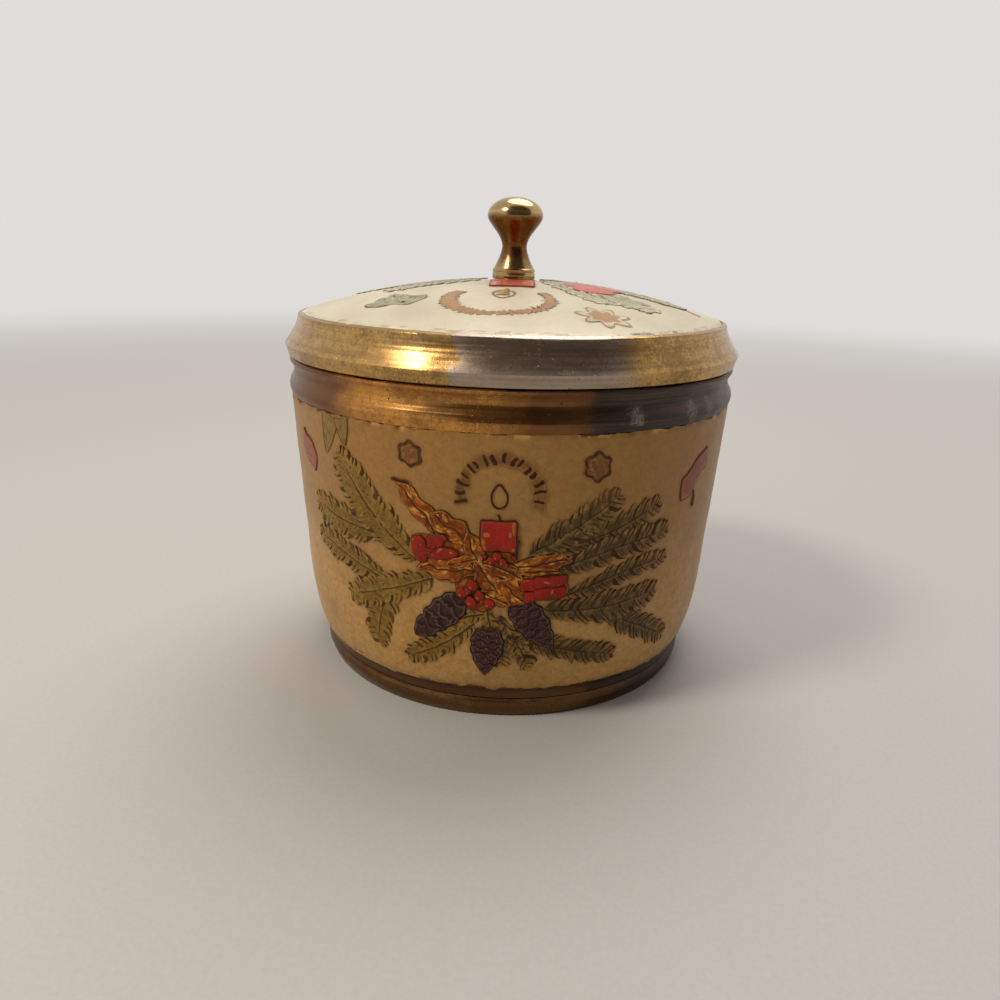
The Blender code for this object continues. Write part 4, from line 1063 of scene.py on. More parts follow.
def crescent(s, t, length, width, seed, o):
    """A broad arc with scratched edges: s runs along its sweep and t across its breadth."""
    turn = math.radians(-118) + s * math.radians(232)
    way = turn * length
    full = np.sin(math.pi * np.clip(s, 0.02, 0.98)) ** 0.3
    broad = width * (0.62 - 0.30 * s + 0.10 * np.sin(s * 9)) * (0.35 + 0.65 * full)
    fringe = wobble(way, t * o.fringe_span, seed, o.fringe_pitch, 3) * 0.16 * width * np.abs(t)
    radius = length * (0.86 + 0.20 * np.cos(turn)) + t * broad / 2 + fringe * np.sign(t)
    scratched = smooth(wobble(way, t * o.scratch_span, seed + 2, o.scratch_pitch, 3), -0.1, 0.3)
    speck = smooth(wobble(radius * 2, way, seed + 3, o.speck_pitch, 3), 0.45, 0.7) * 0.7
    ink = np.maximum(smooth(np.abs(t), 0.62, 0.95) * scratched, speck) * 0.8
    masks = {"ink": ink, "fade": smooth(np.abs(t), 0.80, 1.0) * 0.9}
    return radius * np.cos(turn), radius * np.sin(turn), o.rise + 0 * s, masks


BOUGH_LENGTHS = {
    "curl": 1.0 * MM,
    "curl_soft": 0.05 * MM,
    "head": (0.42 * MM, 0.60 * MM),
    "fleck_pitch": 1.7 * MM,
    "fleck_place": (0.6 * MM, 1.2 * MM),
    "vein": 0.44 * MM,
    "vein_shift": 0.05 * MM,
    "quill": 0.28 * MM,
    "quill_shift": 0.42 * MM,
    "beside": (0.08 * MM, 0.2 * MM, 0.34 * MM),
    "beneath": ((0.58 * MM, 0.66 * MM), (0.76 * MM, 0.90 * MM)),
    "worn_pitch": 5 * MM,
    "fade": (0.1 * MM, 1.5 * MM),
    "rise": 0.18 * MM,
    "swell": 0.11 * MM,
    "ink_drop": 0.07 * MM,
    "edge_drop": 0.03 * MM,
    "edge_reach": 0.4 * MM,
}
HOLLY_LENGTHS = {
    "sway_pitch": 9 * MM,
    "fold_pitch": 4 * MM,
    "shade_pitch": 4 * MM,
    "light_pitch": 3.6 * MM,
    "vein_shift": 0.08 * MM,
    "light_shift": 0.32 * MM,
    "rise": 0.14 * MM,
    "swell": 0.20 * MM,
    "waves": 0.08 * MM,
    "ink_drop": 0.10 * MM,
}
CONE_LENGTHS = {
    "full_width": 8 * MM,
    "stray_pitch": 3 * MM,
    "streak_pitch": 1.4 * MM,
    "rise": 0.14 * MM,
    "swell": 0.16 * MM,
    "bulge": 0.10 * MM,
}
BLOB_LENGTHS = {
    "light_pitch": 3 * MM,
    "rise": 0.08 * MM,
    "swell": 0.16 * MM,
    "bulge": 0.26 * MM,
    "ink_drop": 0.06 * MM,
}
CANDLE_LENGTHS = {
    "pool_pitch": 3 * MM,
    "rise": 0.28 * MM,
    "swell": 0.14 * MM,
    "pool": 0.05 * MM,
    "ink_drop": 0.06 * MM,
    "edge_reach": 1.2 * MM,
}
LOZENGE_LENGTHS = {"speck_pitch": 1.6 * MM, "rise": 0.18 * MM, "swell": 0.08 * MM, "edge_reach": 1.0 * MM}
LOBE_LENGTHS = {
    "tip": 0.05 * MM,
    "dim_pitch": 2.4 * MM,
    "rise": 0.15 * MM,
    "swell": 0.05 * MM,
    "edge_reach": 1.0 * MM,
}
STROKE_LENGTHS = {"ragged_pitch": 1.2 * MM, "rise": 0.12 * MM, "swell": 0.05 * MM}
BERRY_LENGTHS = {"rise": 0.26 * MM, "swell": 0.42 * MM}
STAR_LENGTHS = {
    "ragged_pitch": 3 * MM,
    "light_pitch": 1.6 * MM,
    "rise": 0.15 * MM,
    "swell": 0.06 * MM,
    "ink_drop": 0.03 * MM,
}
RING_LENGTHS = {"rise": 0.12 * MM, "swell": 0.05 * MM}
CRESCENT_LENGTHS = {
    "fringe_span": 0.4 * MM,
    "fringe_pitch": 1.5 * MM,
    "scratch_span": 0.8 * MM,
    "scratch_pitch": 1.1 * MM,
    "speck_pitch": 1.3 * MM,
    "rise": 0.12 * MM,
}

# Each kind's shape, the steps of its grid along (of a bough: along each needle) and across, and its lengths
SHAPES = {
    "bough": (bough, 12, 32, BOUGH_LENGTHS),
    "holly": (holly, 72, 26, HOLLY_LENGTHS),
    "cone": (cone, 90, 44, CONE_LENGTHS),
    "blob": (blob, 48, 16, BLOB_LENGTHS),
    "candle": (candle_block, 44, 44, CANDLE_LENGTHS),
    "lozenge": (lozenge, 64, 22, LOZENGE_LENGTHS),
    "lobe": (leaf_lobe, 36, 16, LOBE_LENGTHS),
    "stroke": (stroke, 14, 8, STROKE_LENGTHS),
    "berry": (berry, 32, 12, BERRY_LENGTHS),
    "star": (star, 96, 22, STAR_LENGTHS),
    "ring": (ring_line, 56, 6, RING_LENGTHS),
    "crescent": (crescent, 240, 20, CRESCENT_LENGTHS),
}
SHAPE_OPTIONS = {
    "spines": 2.6,
    "lean": 0.6,
    "tail": 1.0 * MM,
    "thin": 0.3,
    "spiky": 0.0,
    "streak": 0.4,
    "scale": 1.9 * MM,
    "seam": 1.0,
    "fold": 5.0 * MM,
    "light": 1.0,
    "dark": 1.0,
    "shear": 0.0,
    "pale": 0.7,
    "blunt": 0.0,
    "notch": 1.0,
    "square": 2.8,
    "dome": 1.0,
}
SHAKE_PITCH = 5 * MM


def plate(place, unit, turn, kind, start, end, width, seed, lift=0.0, **options):
    """One raised plate from a place to another: a grid, shaped flat and then laid on the metal."""
    sizes = bpy.context.scene.canister_sizes
    shape, columns, rows, lengths = SHAPES[kind]
    o = SimpleNamespace(**{**SHAPE_OPTIONS, **lengths, "line": sizes.line, **options})
    first = np.array(start) * unit
    run = np.array(end) * unit - first
    length = float(np.hypot(*run))
    along_x, along_y = run / length
    if kind == "bough":
        o.needles = max(4, round(length / o.pitch))
        columns *= o.needles
    deselect_all()
    bpy.ops.mesh.primitive_grid_add(x_subdivisions=columns, y_subdivisions=rows, size=1.0)
    piece = bpy.context.object
    grid = coordinates(piece.data)
    s, t = grid[:, 0] + 0.5, grid[:, 1] * 2.0
    along, across, relief, masks = shape(s, t, length, width * unit, seed, o)
    x = first[0] + along * along_x - across * along_y
    y = first[1] + along * along_y + across * along_x
    x = x + wobble(x, y, seed + 11, SHAKE_PITCH, 2) * sizes.shake
    y = y + wobble(x, y, seed + 12, SHAKE_PITCH, 2) * sizes.shake
    for name in ("ink", "glint", "fade"):
        set_mask(piece.data, name, masks.get(name, 0.0 * s))
    set_coordinates(piece.data, place(x, y, relief + lift, turn))
    pick(piece)
    edit_mesh(
        (bpy.ops.mesh.remove_doubles, {"threshold": MERGE_DISTANCE}),
        (bpy.ops.mesh.normals_make_consistent, {"inside": False}),
    )
    face_outwards(piece)
    solid = piece.modifiers.new("Back", "SOLIDIFY")
    solid.thickness = sizes.plate + lift
    solid.offset = -1.0
    bpy.ops.object.modifier_apply(modifier=solid.name)
    return piece


def face_outwards(piece):
    """Turns a sheet's faces away from the canister's middle."""
    middle = Vector((0.0, 0.0, BAND_FOOT))
    if sum((face.center - middle).dot(face.normal) * face.area for face in piece.data.polygons) < 0:
        edit_mesh((bpy.ops.mesh.flip_normals, {}))


def join_plates(name, plates, material, body, slot, *nodes):
    pick(*plates)
    if len(plates) > 1:
        bpy.ops.object.join()
    piece = bpy.context.object
    piece.name = name
    piece.data.name = name
    soften(piece, PLATE_CREASE_ANGLE)
    return finish_piece(piece, material, body, slot, *nodes)


# The cells of each node: its material, how far it is lifted as a share of PLATE_LIFT, and its shapes by kind
# in the order they are laid. A shape is its first place, its second place and its width, as shares of the
# enamel band's height on the wall and of the enamel's radius on the lid.
WALL_CELL_SHARES = {
    "candle": (
        "red",
        0.06,
        ("candle", (-0.006, 0.580, -0.006, 0.700, 0.134)),
        ("stroke", (-0.079, 0.600, -0.076, 0.545, 0.012), (0.066, 0.640, 0.062, 0.550, 0.012)),
        ("blob", (-0.062, 0.572, -0.044, 0.556, 0.020), (0.044, 0.568, 0.060, 0.556, 0.020)),
    ),
    "berries": (
        "red",
        0.15,
        ("berry", (-0.098, 0.446, -0.099, 0.50, 0.050), (-0.136, 0.416, -0.136, 0.46, 0.045)),
        ("berry", (-0.102, 0.382, -0.101, 0.43, 0.046), (-0.070, 0.408, -0.071, 0.46, 0.044)),
        ("berry", (-0.034, 0.381, -0.034, 0.43, 0.042), (-0.112, 0.424, -0.118, 0.46, 0.030)),
        ("berry", (-0.030, 0.550, -0.034, 0.60, 0.032), (-0.009, 0.569, -0.006, 0.60, 0.036)),
        ("berry", (0.011, 0.549, 0.017, 0.60, 0.030), (0.026, 0.537, 0.017, 0.60, 0.020)),
    ),
    "ribbon_left": (
        "red",
        0.09,
        ("blob", (-0.332, 0.573, -0.272, 0.578, 0.086), (-0.286, 0.558, -0.150, 0.560, 0.050)),
        ("blob", (-0.270, 0.604, -0.198, 0.606, 0.054), (-0.316, 0.534, -0.262, 0.536, 0.034)),
        ("blob", (-0.272, 0.584, -0.226, 0.582, 0.022), (-0.222, 0.624, -0.186, 0.618, 0.024)),
    ),
    "ribbon_right": (
        "red",
        0.15,
        ("blob", (0.076, 0.455, 0.136, 0.456, 0.054), (0.126, 0.463, 0.194, 0.468, 0.050)),
        ("blob", (0.182, 0.468, 0.252, 0.473, 0.050), (0.092, 0.408, 0.138, 0.410, 0.044)),
        ("blob", (0.128, 0.420, 0.196, 0.423, 0.048), (0.186, 0.423, 0.252, 0.426, 0.046)),
    ),
    "amber_leaf_left": (
        "amber",
        0.04,
        ("blob", (-0.345, 0.572, -0.150, 0.575, 0.112), (-0.170, 0.545, -0.066, 0.545, 0.100)),
        ("holly", (-0.078, 0.505, -0.312, 0.493, 0.104), (-0.083, 0.548, -0.200, 0.524, 0.056)),
    ),
    "amber_leaf_upper": (
        "amber",
        0.0,
        ("holly", (-0.232, 0.640, -0.380, 0.812, 0.090)),
        ("stroke", (-0.408, 0.815, -0.325, 0.806, 0.017)),
        ("holly", (-0.105, 0.600, -0.250, 0.712, 0.104)),
        ("blob", (-0.175, 0.600, -0.080, 0.590, 0.090)),
        ("holly", (-0.074, 0.530, -0.115, 0.650, 0.082)),
    ),
    "amber_leaf_right": (
        "amber",
        0.03,
        ("holly", (0.038, 0.520, 0.272, 0.546, 0.082), (0.050, 0.500, 0.240, 0.510, 0.040)),
    ),
    "amber_leaf_centre": (
        "amber",
        0.0,
        ("blob", (-0.165, 0.418, 0.000, 0.402, 0.130), (-0.076, 0.548, 0.066, 0.535, 0.095)),
        ("blob", (-0.078, 0.480, 0.070, 0.450, 0.165), (0.000, 0.425, 0.110, 0.410, 0.080)),
        ("blob", (0.060, 0.438, 0.258, 0.448, 0.115)),
        ("holly", (-0.088, 0.540, 0.020, 0.400, 0.105), (-0.060, 0.545, 0.090, 0.478, 0.080)),
        ("holly", (-0.010, 0.470, 0.100, 0.385, 0.105), (-0.070, 0.425, 0.050, 0.375, 0.060)),
    ),
    "cone_left": ("cone_violet", 0.07, ("cone", (-0.130, 0.395, -0.330, 0.213, 0.122))),
    "cone_centre": ("cone_violet", 0.08, ("cone", (-0.034, 0.282, -0.051, 0.072, 0.132))),
    "cone_right": ("cone_violet", 0.07, ("cone", (0.060, 0.390, 0.219, 0.190, 0.128))),
    "upper_left_boughs": (
        "fir_olive",
        0.0,
        ("bough", (-0.430, 0.600, -0.885, 0.640, 0.150), (-0.316, 0.515, -0.680, 0.880, 0.178)),
    ),
    "lower_left_boughs": (
        "fir_olive",
        0.0,
        ("bough", (-0.430, 0.395, -0.525, 0.105, 0.150), (-0.440, 0.405, -0.890, 0.510, 0.120)),
        ("bough", (-0.252, 0.455, -0.678, 0.290, 0.135)),
    ),
    "upper_right_boughs": (
        "fir_grey",
        0.0,
        ("bough", (0.180, 0.590, 0.645, 0.735, 0.120), (0.108, 0.575, 0.448, 0.790, 0.128)),
        ("bough", (0.200, 0.510, 0.716, 0.612, 0.115)),
    ),
    "lower_right_boughs": (
        "fir_grey",
        0.0,
        ("bough", (0.400, 0.325, 0.810, 0.115, 0.120), (0.260, 0.405, 0.735, 0.500, 0.092)),
        ("bough", (0.176, 0.350, 0.698, 0.368, 0.135)),
    ),
    "low_bough_left": (
        "fir_olive",
        0.0,
        ("bough", (-0.060, 0.330, -0.215, 0.270, 0.080), (-0.090, 0.290, -0.390, 0.092, 0.105)),
        ("bough", (-0.040, 0.350, -0.010, 0.225, 0.070)),
    ),
    "low_bough_right": (
        "fir_grey",
        0.0,
        ("bough", (0.010, 0.330, 0.020, 0.110, 0.090), (0.020, 0.300, 0.130, 0.100, 0.085)),
        ("bough", (0.073, 0.230, 0.512, 0.118, 0.110)),
    ),
    "star_left": ("engraved", 0.0, ("star", (-0.328, 0.913, -0.328, 0.960, 0.092))),
    "star_right": ("engraved", 0.0, ("star", (0.336, 0.890, 0.336, 0.945, 0.104))),
    "pink_ribbon_right": ("pink", 0.0, ("lozenge", (0.745, 0.748, 0.925, 0.850, 0.112))),
    "pink_ribbon_left": ("pink", 0.0, ("lozenge", (-0.840, 0.775, -0.960, 0.880, 0.100))),
    "olive_leaf": (
        "olive",
        0.0,
        ("lobe", (-0.700, 0.995, -0.745, 0.850, 0.100), (-0.640, 0.995, -0.625, 0.900, 0.080)),
    ),
}
LID_CELL_SHARES = {
    "lid_candle": ("lid_red", 0.06, ("candle", (0.0, -0.12, 0.0, -0.335, 0.205))),
    "lid_glow": ("lid_brown", 0.0, ("crescent", (-0.045, -0.53, -0.045, -0.777, 0.115))),
    "lid_ribbon": ("lid_red", 0.03, ("blob", (0.235, -0.10, 0.50, -0.14, 0.19), (0.28, -0.24, 0.46, -0.29, 0.15))),
    "lid_star": ("lid_brown", 0.0, ("star", (0.385, -0.73, 0.40, -0.83, 0.19))),
    "lid_leaf": ("lid_fir", 0.0, ("holly", (-0.36, -0.50, -0.62, -0.56, 0.19), (-0.45, -0.58, -0.53, -0.40, 0.13))),
    "lid_cone": ("lid_cone", 0.02, ("cone", (0.0, 0.18, 0.0, 0.56, 0.22))),
    "lid_boughs_right": (
        "lid_fir",
        0.0,
        ("bough", (0.15, -0.02, 0.44, -0.54, 0.20), (0.15, 0.02, 0.64, -0.53, 0.22)),
        ("bough", (0.15, 0.06, 0.83, -0.20, 0.19), (0.15, 0.10, 0.84, 0.26, 0.18)),
        ("bough", (0.15, 0.14, 0.52, 0.70, 0.18)),
    ),
    "lid_boughs_left": (
        "lid_fir",
        0.0,
        ("bough", (-0.16, -0.02, -0.60, -0.22, 0.20), (-0.16, 0.03, -0.80, 0.05, 0.18)),
        ("bough", (-0.16, 0.10, -0.80, 0.34, 0.18), (-0.16, 0.14, -0.46, 0.74, 0.18)),
    ),
}

# Where the wall's picture is laid: share of a turn from the front, ending of its names, and what is left out
WALL_PICTURE_SHARES = (
    (0.0, "", ()),
    (0.5, "_back", ("olive_leaf", "pink_ribbon_left", "berries")),
)

# Slots of the enamels by material, and that of the lid's leaf
SLOTS = {
    "red": "red_enamel",
    "amber": "amber_enamel",
    "cone_violet": "cone_enamel",
    "fir_olive": "fir_enamel",
    "fir_grey": "fir_enamel",
    "engraved": "amber_enamel",
    "pink": "pink_enamel",
    "olive": "olive_enamel",
    "lid_red": "red_enamel",
    "lid_brown": "amber_enamel",
    "lid_fir": "fir_enamel",
    "lid_leaf": "olive_enamel",
    "lid_cone": "cone_enamel",
}

# Options of the plates by material or by cell
PLATE_OPTIONS = {
    "amber": {"light": 0.0, "fold": 4.0 * MM, "dome": 0.0},
    "fir_olive": {"pitch": 2.2 * MM, "thin": 0.35, "notch": 1.25},
    "fir_grey": {"pitch": 2.1 * MM, "thin": 0.6, "tail": 1.7 * MM, "lean": 0.8, "pale": 0.45, "notch": 1.6},
    "lid_fir": {"pitch": 2.6 * MM, "thin": 0.2},
    "lid_brown": {"spiky": 1.0},
    "ribbon_right": {"square": 5.5, "light": 0.7, "fold": 3.0 * MM},
    "pink_ribbon_right": {"shear": 0.4},
    "pink_ribbon_left": {"shear": -0.3},
    "cone_left": {"scale": 3.2 * MM, "streak": 0.25, "blunt": 1.6, "seam": 0.8},
    "cone_centre": {"scale": 2.0 * MM, "streak": 1.0, "seam": 0.45},
    "cone_right": {"scale": 2.3 * MM, "streak": 1.0, "seam": 0.35},
}
PLATE_LIFT = 3.0 * MM
PLATE_STEP = 0.06 * MM


def lay_cell(name, ending, cell, place, unit, turn, body):
    """One node's cells as one piece of plates, each a little above the one before."""
    material, lift_share, *groups = cell
    seed = sum(map(ord, name)) * 7
    options = {**PLATE_OPTIONS.get(material, {}), **PLATE_OPTIONS.get(name, {})}
    plates = []
    for kind, x, y, end_x, end_y, width in [(kind, *shape) for kind, *shapes in groups for shape in shapes]:
        count = len(plates)
        lift = lift_share * PLATE_LIFT + PLATE_STEP * count
        ends = ((x, y), (end_x, end_y))
        plates.append(plate(place, unit, turn, kind, *ends, width, seed + 31 * count, lift, **options))
    slot = SLOTS.get(name) or SLOTS[material]
    return join_plates("enamel_" + name + ending, plates, material, body, slot, name + ending)


def lay_wall_cells(*names):
    for turn_share, ending, left_out in WALL_PICTURE_SHARES:
        for name in names:
            if name not in left_out:
                cell = WALL_CELL_SHARES[name]
                lay_cell(name, ending, cell, on_wall, BAND_HEIGHT, math.tau * turn_share, "pot")


# Rays of the glow: their middle, the radius they stand at, their length and width, their angles, and the dab
# and the line of each: darkness, turn from the angle and width
RAY_CENTRE_SHARE = (-0.004, 0.785)
RAY_RADIUS_SHARE = 0.138
RAY_LENGTH_SHARE = 0.042
RAY_WIDTH_SHARE = 0.019
RAY_ANGLES = range(-100, 101, 13)
RAY_STROKE_SHARES = ((0.1, 6.0, 1.7), (1.0, 0.0, 1.0))
RAY_LIFT = 0.02 * MM
RAY_SEED = 60


def rays(turn):
    """Short strokes of uneven length that stand round the flame, each with a paler dab beside it."""
    draw = np.random.default_rng(RAY_SEED)
    made = []
    for i, angle in enumerate(RAY_ANGLES):
        for dark, offset, share in RAY_STROKE_SHARES:
            bearing = math.radians(angle + offset + draw.uniform(-2.5, 2.5))
            ray = Vector((math.sin(bearing), math.cos(bearing)))
            middle = Vector(RAY_CENTRE_SHARE)
            start = middle + ray * (RAY_RADIUS_SHARE - RAY_LENGTH_SHARE * draw.uniform(0.30, 0.62))
            end = middle + ray * (RAY_RADIUS_SHARE + RAY_LENGTH_SHARE * draw.uniform(0.38, 0.60))
            width = RAY_WIDTH_SHARE * share * draw.uniform(0.75, 1.35)
            skewed = tuple(end + Vector((draw.uniform(-0.006, 0.006), 0.0)))
            options = {"dark": dark, "lift": RAY_LIFT * dark}
            ends = (tuple(start), skewed)
            made.append(plate(on_wall, BAND_HEIGHT, turn, "stroke", *ends, width, RAY_SEED + i, **options))
    return made


# Flame and tassel: kind, two places, width, seed and width of the line if not the usual
WALL_MARK_SHARES = (
    ("ring", (-0.005, 0.781), (-0.005, 0.853), 0.060, 5, {"line": 0.58 * MM}),
    ("stroke", (-0.001, 0.699), (-0.010, 0.724), 0.012, 8, {}),
    ("stroke", (0.845, 0.735), (0.855, 0.700), 0.012, 12, {}),
    ("ring", (0.858, 0.685), (0.858, 0.715), 0.018, 13, {"line": 0.5 * MM}),
)
LID_MARK_SHARES = (
    ("ring", (-0.03, -0.50), (-0.04, -0.62), 0.10, 6, {"line": 0.6 * MM}),
    ("lobe", (-0.035, -0.53), (-0.015, -0.39), 0.055, 9, {}),
    ("stroke", (0.80, -0.20), (0.86, -0.28), 0.020, 10, {}),
)


def marks(rows, place, unit, turn):
    return [plate(place, unit, turn, *shape, **options) for *shape, options in rows]


# Cream grounds: their grid and their unevenness
SPREAD_STEP = 0.22 * MM


def nearness(flat, spots, reach):
    """How near flat places are to the nearest of the spots: 1 at a spot, falling to 0 at the reach."""
    rounds = max(1, round(reach / SPREAD_STEP))
    low = np.minimum(flat.min(0), spots.min(0)) - reach
    span = np.maximum(flat.max(0), spots.max(0)) + reach - low
    grid = np.zeros(np.ceil(span / SPREAD_STEP).astype(int) + 1)
    grid[tuple(((spots - low) / SPREAD_STEP).astype(int).T)] = 1.0
    for _ in range(rounds):
        padded = np.pad(grid, 1, mode="edge")
        beside = most(padded[2:, 1:-1], padded[:-2, 1:-1], padded[1:-1, 2:], padded[1:-1, :-2])
        grid = np.maximum(grid, beside - 1.0 / rounds)
    return grid[tuple(((flat - low) / SPREAD_STEP).astype(int).T)]


def ornament_spots(body):
    """The points of the raised plates that ride on a body."""
    made = [o for o in bpy.data.objects if o.type == "MESH" and "ink" in o.data.attributes]
    return np.vstack([coordinates(o.data) for o in made if body_of(o) == [body]])


# Dark stretches of the brass: painted dark reflection of the dim room in front, on the front of the neck and skirt,
# and painted shade in the cove and low on the right, partly tarnish. From and to in degrees round from the front,
# strength, softness of the ends, and from and to in height
ZONE_MARGIN = 1.0 * MM
COVE_ZONE_DROP = 0.4 * MM
ABOVE_POT = BODY_HEIGHT + ZONE_MARGIN
ABOVE_SKIRT = DOME_FOOT + ZONE_MARGIN
WALL_ZONES = (
    (-12.0, 100.0, 0.62, 26.0, BAND_TOP, ABOVE_POT),
    (-2.0, 96.0, 1.0, 26.0, BAND_TOP, ABOVE_POT),
    (-110.0, -24.0, 0.58, 26.0, BAND_TOP, ABOVE_POT),
    (140.0, 215.0, 0.9, 20.0, BAND_TOP, ABOVE_POT),
    (0.0, 360.0, 0.78, 0.0, 0.0, BAND_FOOT - COVE_ZONE_DROP),
    (10.0, 170.0, 0.95, 20.0, 0.0, BAND_FOOT),
)
FOOT_ZONES = (
    (12.0, 160.0, 0.90, 34.0, 0.0, BAND_FOOT),
    (-120.0, -40.0, 0.40, 30.0, 0.0, BAND_FOOT),
)
SKIRT_ZONES = (
    (-12.5, 20.0, 0.42, 2.2, 0.0, ABOVE_SKIRT),
    (-4.0, 33.0, 0.42, 10.0, 0.0, ABOVE_SKIRT),
    (75.0, 118.0, 0.35, 9.0, 0.0, ABOVE_SKIRT),
    (160.0, 212.0, 0.42, 2.0, 0.0, ABOVE_SKIRT),
    (250.0, 262.0, 0.35, 4.0, 0.0, ABOVE_SKIRT),
)

# Heights above the enamel's top where the roll of the neck ends and where the straight bore begins
ROLL_LIFT = 0.5 * MM
BORE_LIFT = 0.6 * MM


def spun_brass(name, profile, dent_seed, zones, zone_seed):
    """A turned piece with the lathe's grooves and the dents of spun brass, and its dark zones: painted dark
    reflection and shade, partly tarnish.
    """
    piece = turned(name, profile, bpy.context.scene.canister_sizes.turned_steps)
    hammered(piece, dent_seed)
    dark_zones(piece, zones, zone_seed)
    return piece


def dome_rows(start, end, count, drop=0.0, curve=DOME_CURVE):
    """Profile points along the dome between two radii, set down from it."""
    return [(float(radius), float(dome_height(radius, curve)) - drop) for radius in np.linspace(start, end, count)]


# Operators, one for each group of like pieces


class CanisterOperator:
    bl_options = {"REGISTER", "UNDO"}


class CANISTER_OT_pot_brass(CanisterOperator, bpy.types.Operator):
    """Spin the pot's brass wall and its foot ring, and give its floor its finish"""

    bl_idname = "canister.pot_brass"
    bl_label = "Pot brass"

    def execute(self, context):
        wall = spun_brass("pot_wall", self.wall_profile(), 3, WALL_ZONES, 5)
        scuff_neck(wall)
        soften(wall)
        finish_piece(wall, "spun_brass_wall", "pot", "spun_brass", "body_wall")
        ring = spun_brass("pot_foot_ring", self.foot_profile(), 9, FOOT_ZONES, 8)
        soften(ring)
        finish_piece(ring, "foot_brass", "pot", "dark_brass", "foot_ring")
        dress(frame["nodes"]["base_disc"], "inner_brass")
        return {"FINISHED"}

    def wall_profile(self):
        """From the rim down the neck, the enamel's recess and the cove, and back up the inside."""
        neck = rows_between((MOUTH_RADIUS - RECESS, BODY_HEIGHT), (MOUTH_RADIUS, BODY_HEIGHT - EDGE), 3)
        neck += rows_between((MOUTH_RADIUS, BODY_HEIGHT - RECESS), (MOUTH_RADIUS, WAIST_TOP + NICK), 3)
        neck += rows_between((MOUTH_RADIUS - NICK, WAIST_TOP), (BAND_RADIUS, ROLL_TOP), 22, -WAIST_DEPTH)
        roll = (BAND_RADIUS + NICK, ROLL_TOP - ROLL_DROP)
        neck += rows_between(roll, (BAND_RADIUS, BAND_TOP + ROLL_LIFT), 22, ROLL_PROUD)
        wall = wall_rows(BAND_TOP + EDGE, BAND_FOOT + LAP, 34, RECESS)
        cove_top = (float(belly_radius(BAND_FOOT)) - NICK, BAND_FOOT - COVE_DROP)
        cove_foot = (float(belly_radius(WALL_FOOT.z)) - NICK, WALL_FOOT.z)
        cove = rows_between(cove_top, cove_foot, 14, -COVE_DEPTH)
        inside = wall_rows(WALL_FOOT.z, BAND_TOP, 22, SHEET_THICKNESS)
        bore = rows_between((BORE_RADIUS, BAND_TOP + BORE_LIFT), (BORE_RADIUS, BODY_HEIGHT), 6)
        return neck + wall + cove + inside + bore

    def foot_profile(self):
        """Down the rounded bead, across the tread, and up round the ledge that the floor lies on."""
        foot, top = FOOT_LOW.z, FOOT_HIGH.z
        radius = float(belly_radius(WALL_FOOT.z))
        tread = FOOT_RADIUS - TREAD_WIDTH
        ledge = DISC_FOOT - GAP
        step = radius - SHEET_THICKNESS
        bead = rows_between((radius - COVE_DROP, top), (FOOT_RADIUS - EDGE, foot + BEAD_LIFT), 26, BEAD_PROUD)
        under = [(FOOT_RADIUS - BEAD_PROUD, foot), (tread + LAP, foot), (tread, foot + LAP)]
        return bead + under + [(tread, ledge), (step, ledge), (step, top)]


class CANISTER_OT_wall_boughs(CanisterOperator, bpy.types.Operator):
    """Lay the fir boughs of the wall, needle by needle"""

    bl_idname = "canister.wall_boughs"
    bl_label = "Fir boughs"

    def execute(self, context):
        lay_wall_cells(*(name for name in WALL_CELL_SHARES if "bough" in name))
        return {"FINISHED"}


class CANISTER_OT_wall_cones(CanisterOperator, bpy.types.Operator):
    """Lay the fir cones of the wall, with their scales"""

    bl_idname = "canister.wall_cones"
    bl_label = "Fir cones"

    def execute(self, context):
        lay_wall_cells("cone_left", "cone_centre", "cone_right")
        return {"FINISHED"}


class CANISTER_OT_wall_holly(CanisterOperator, bpy.types.Operator):
    """Lay the amber holly leaves and the berries of the wall"""

    bl_idname = "canister.wall_holly"
    bl_label = "Holly and berries"

    def execute(self, context):
        lay_wall_cells(*(name for name in WALL_CELL_SHARES if "amber" in name or name == "berries"))
        return {"FINISHED"}


class CANISTER_OT_wall_candle(CanisterOperator, bpy.types.Operator):
    """Lay the candle, its bows and the pink and olive pieces of the wall"""

    bl_idname = "canister.wall_candle"
    bl_label = "Candle and bows"

    def execute(self, context):
        lay_wall_cells("candle", "ribbon_left", "ribbon_right")
        lay_wall_cells("pink_ribbon_right", "pink_ribbon_left", "olive_leaf")
        return {"FINISHED"}


class CANISTER_OT_wall_marks(CanisterOperator, bpy.types.Operator):
    """Engrave the stars, the flame and the rays of its glow on the wall"""

    bl_idname = "canister.wall_marks"
    bl_label = "Stars and flame"

    def execute(self, context):
        lay_wall_cells("star_left", "star_right")
        for turn_share, ending, _ in WALL_PICTURE_SHARES:
            turn = math.tau * turn_share
            made = rays(turn) + marks(WALL_MARK_SHARES, on_wall, BAND_HEIGHT, turn)
            join_plates("engraved_marks" + ending, made, "engraved", "pot", SLOTS["engraved"])
        return {"FINISHED"}


# Unevenness of the wall's cream ground: depths, how far in from its edges it reaches, and pitches
GROUND_TUCK = 0.18 * MM
GROUND_DENT = 0.07 * MM
WALL_FRAY = 0.46 * MM
WALL_FRAY_REACH = 2.0 * MM
WALL_EDGE_DARKENING_REACH = 1.2 * MM
WALL_CHIP_TOP = 0.6 * MM
WALL_CHIP_FOOT = 0.5 * MM
WALL_FRAY_PITCHES = (7 * MM, 20 * MM)
WALL_DENT_PITCH = 17 * MM
WALL_PATCH_PITCH = 9 * MM
WALL_SHADE_PITCH = 30 * MM
WALL_SHADE_SHARE = 0.10
WALL_CHIP_PITCH = 12 * MM
WALL_FLAKE_PITCH = 14 * MM


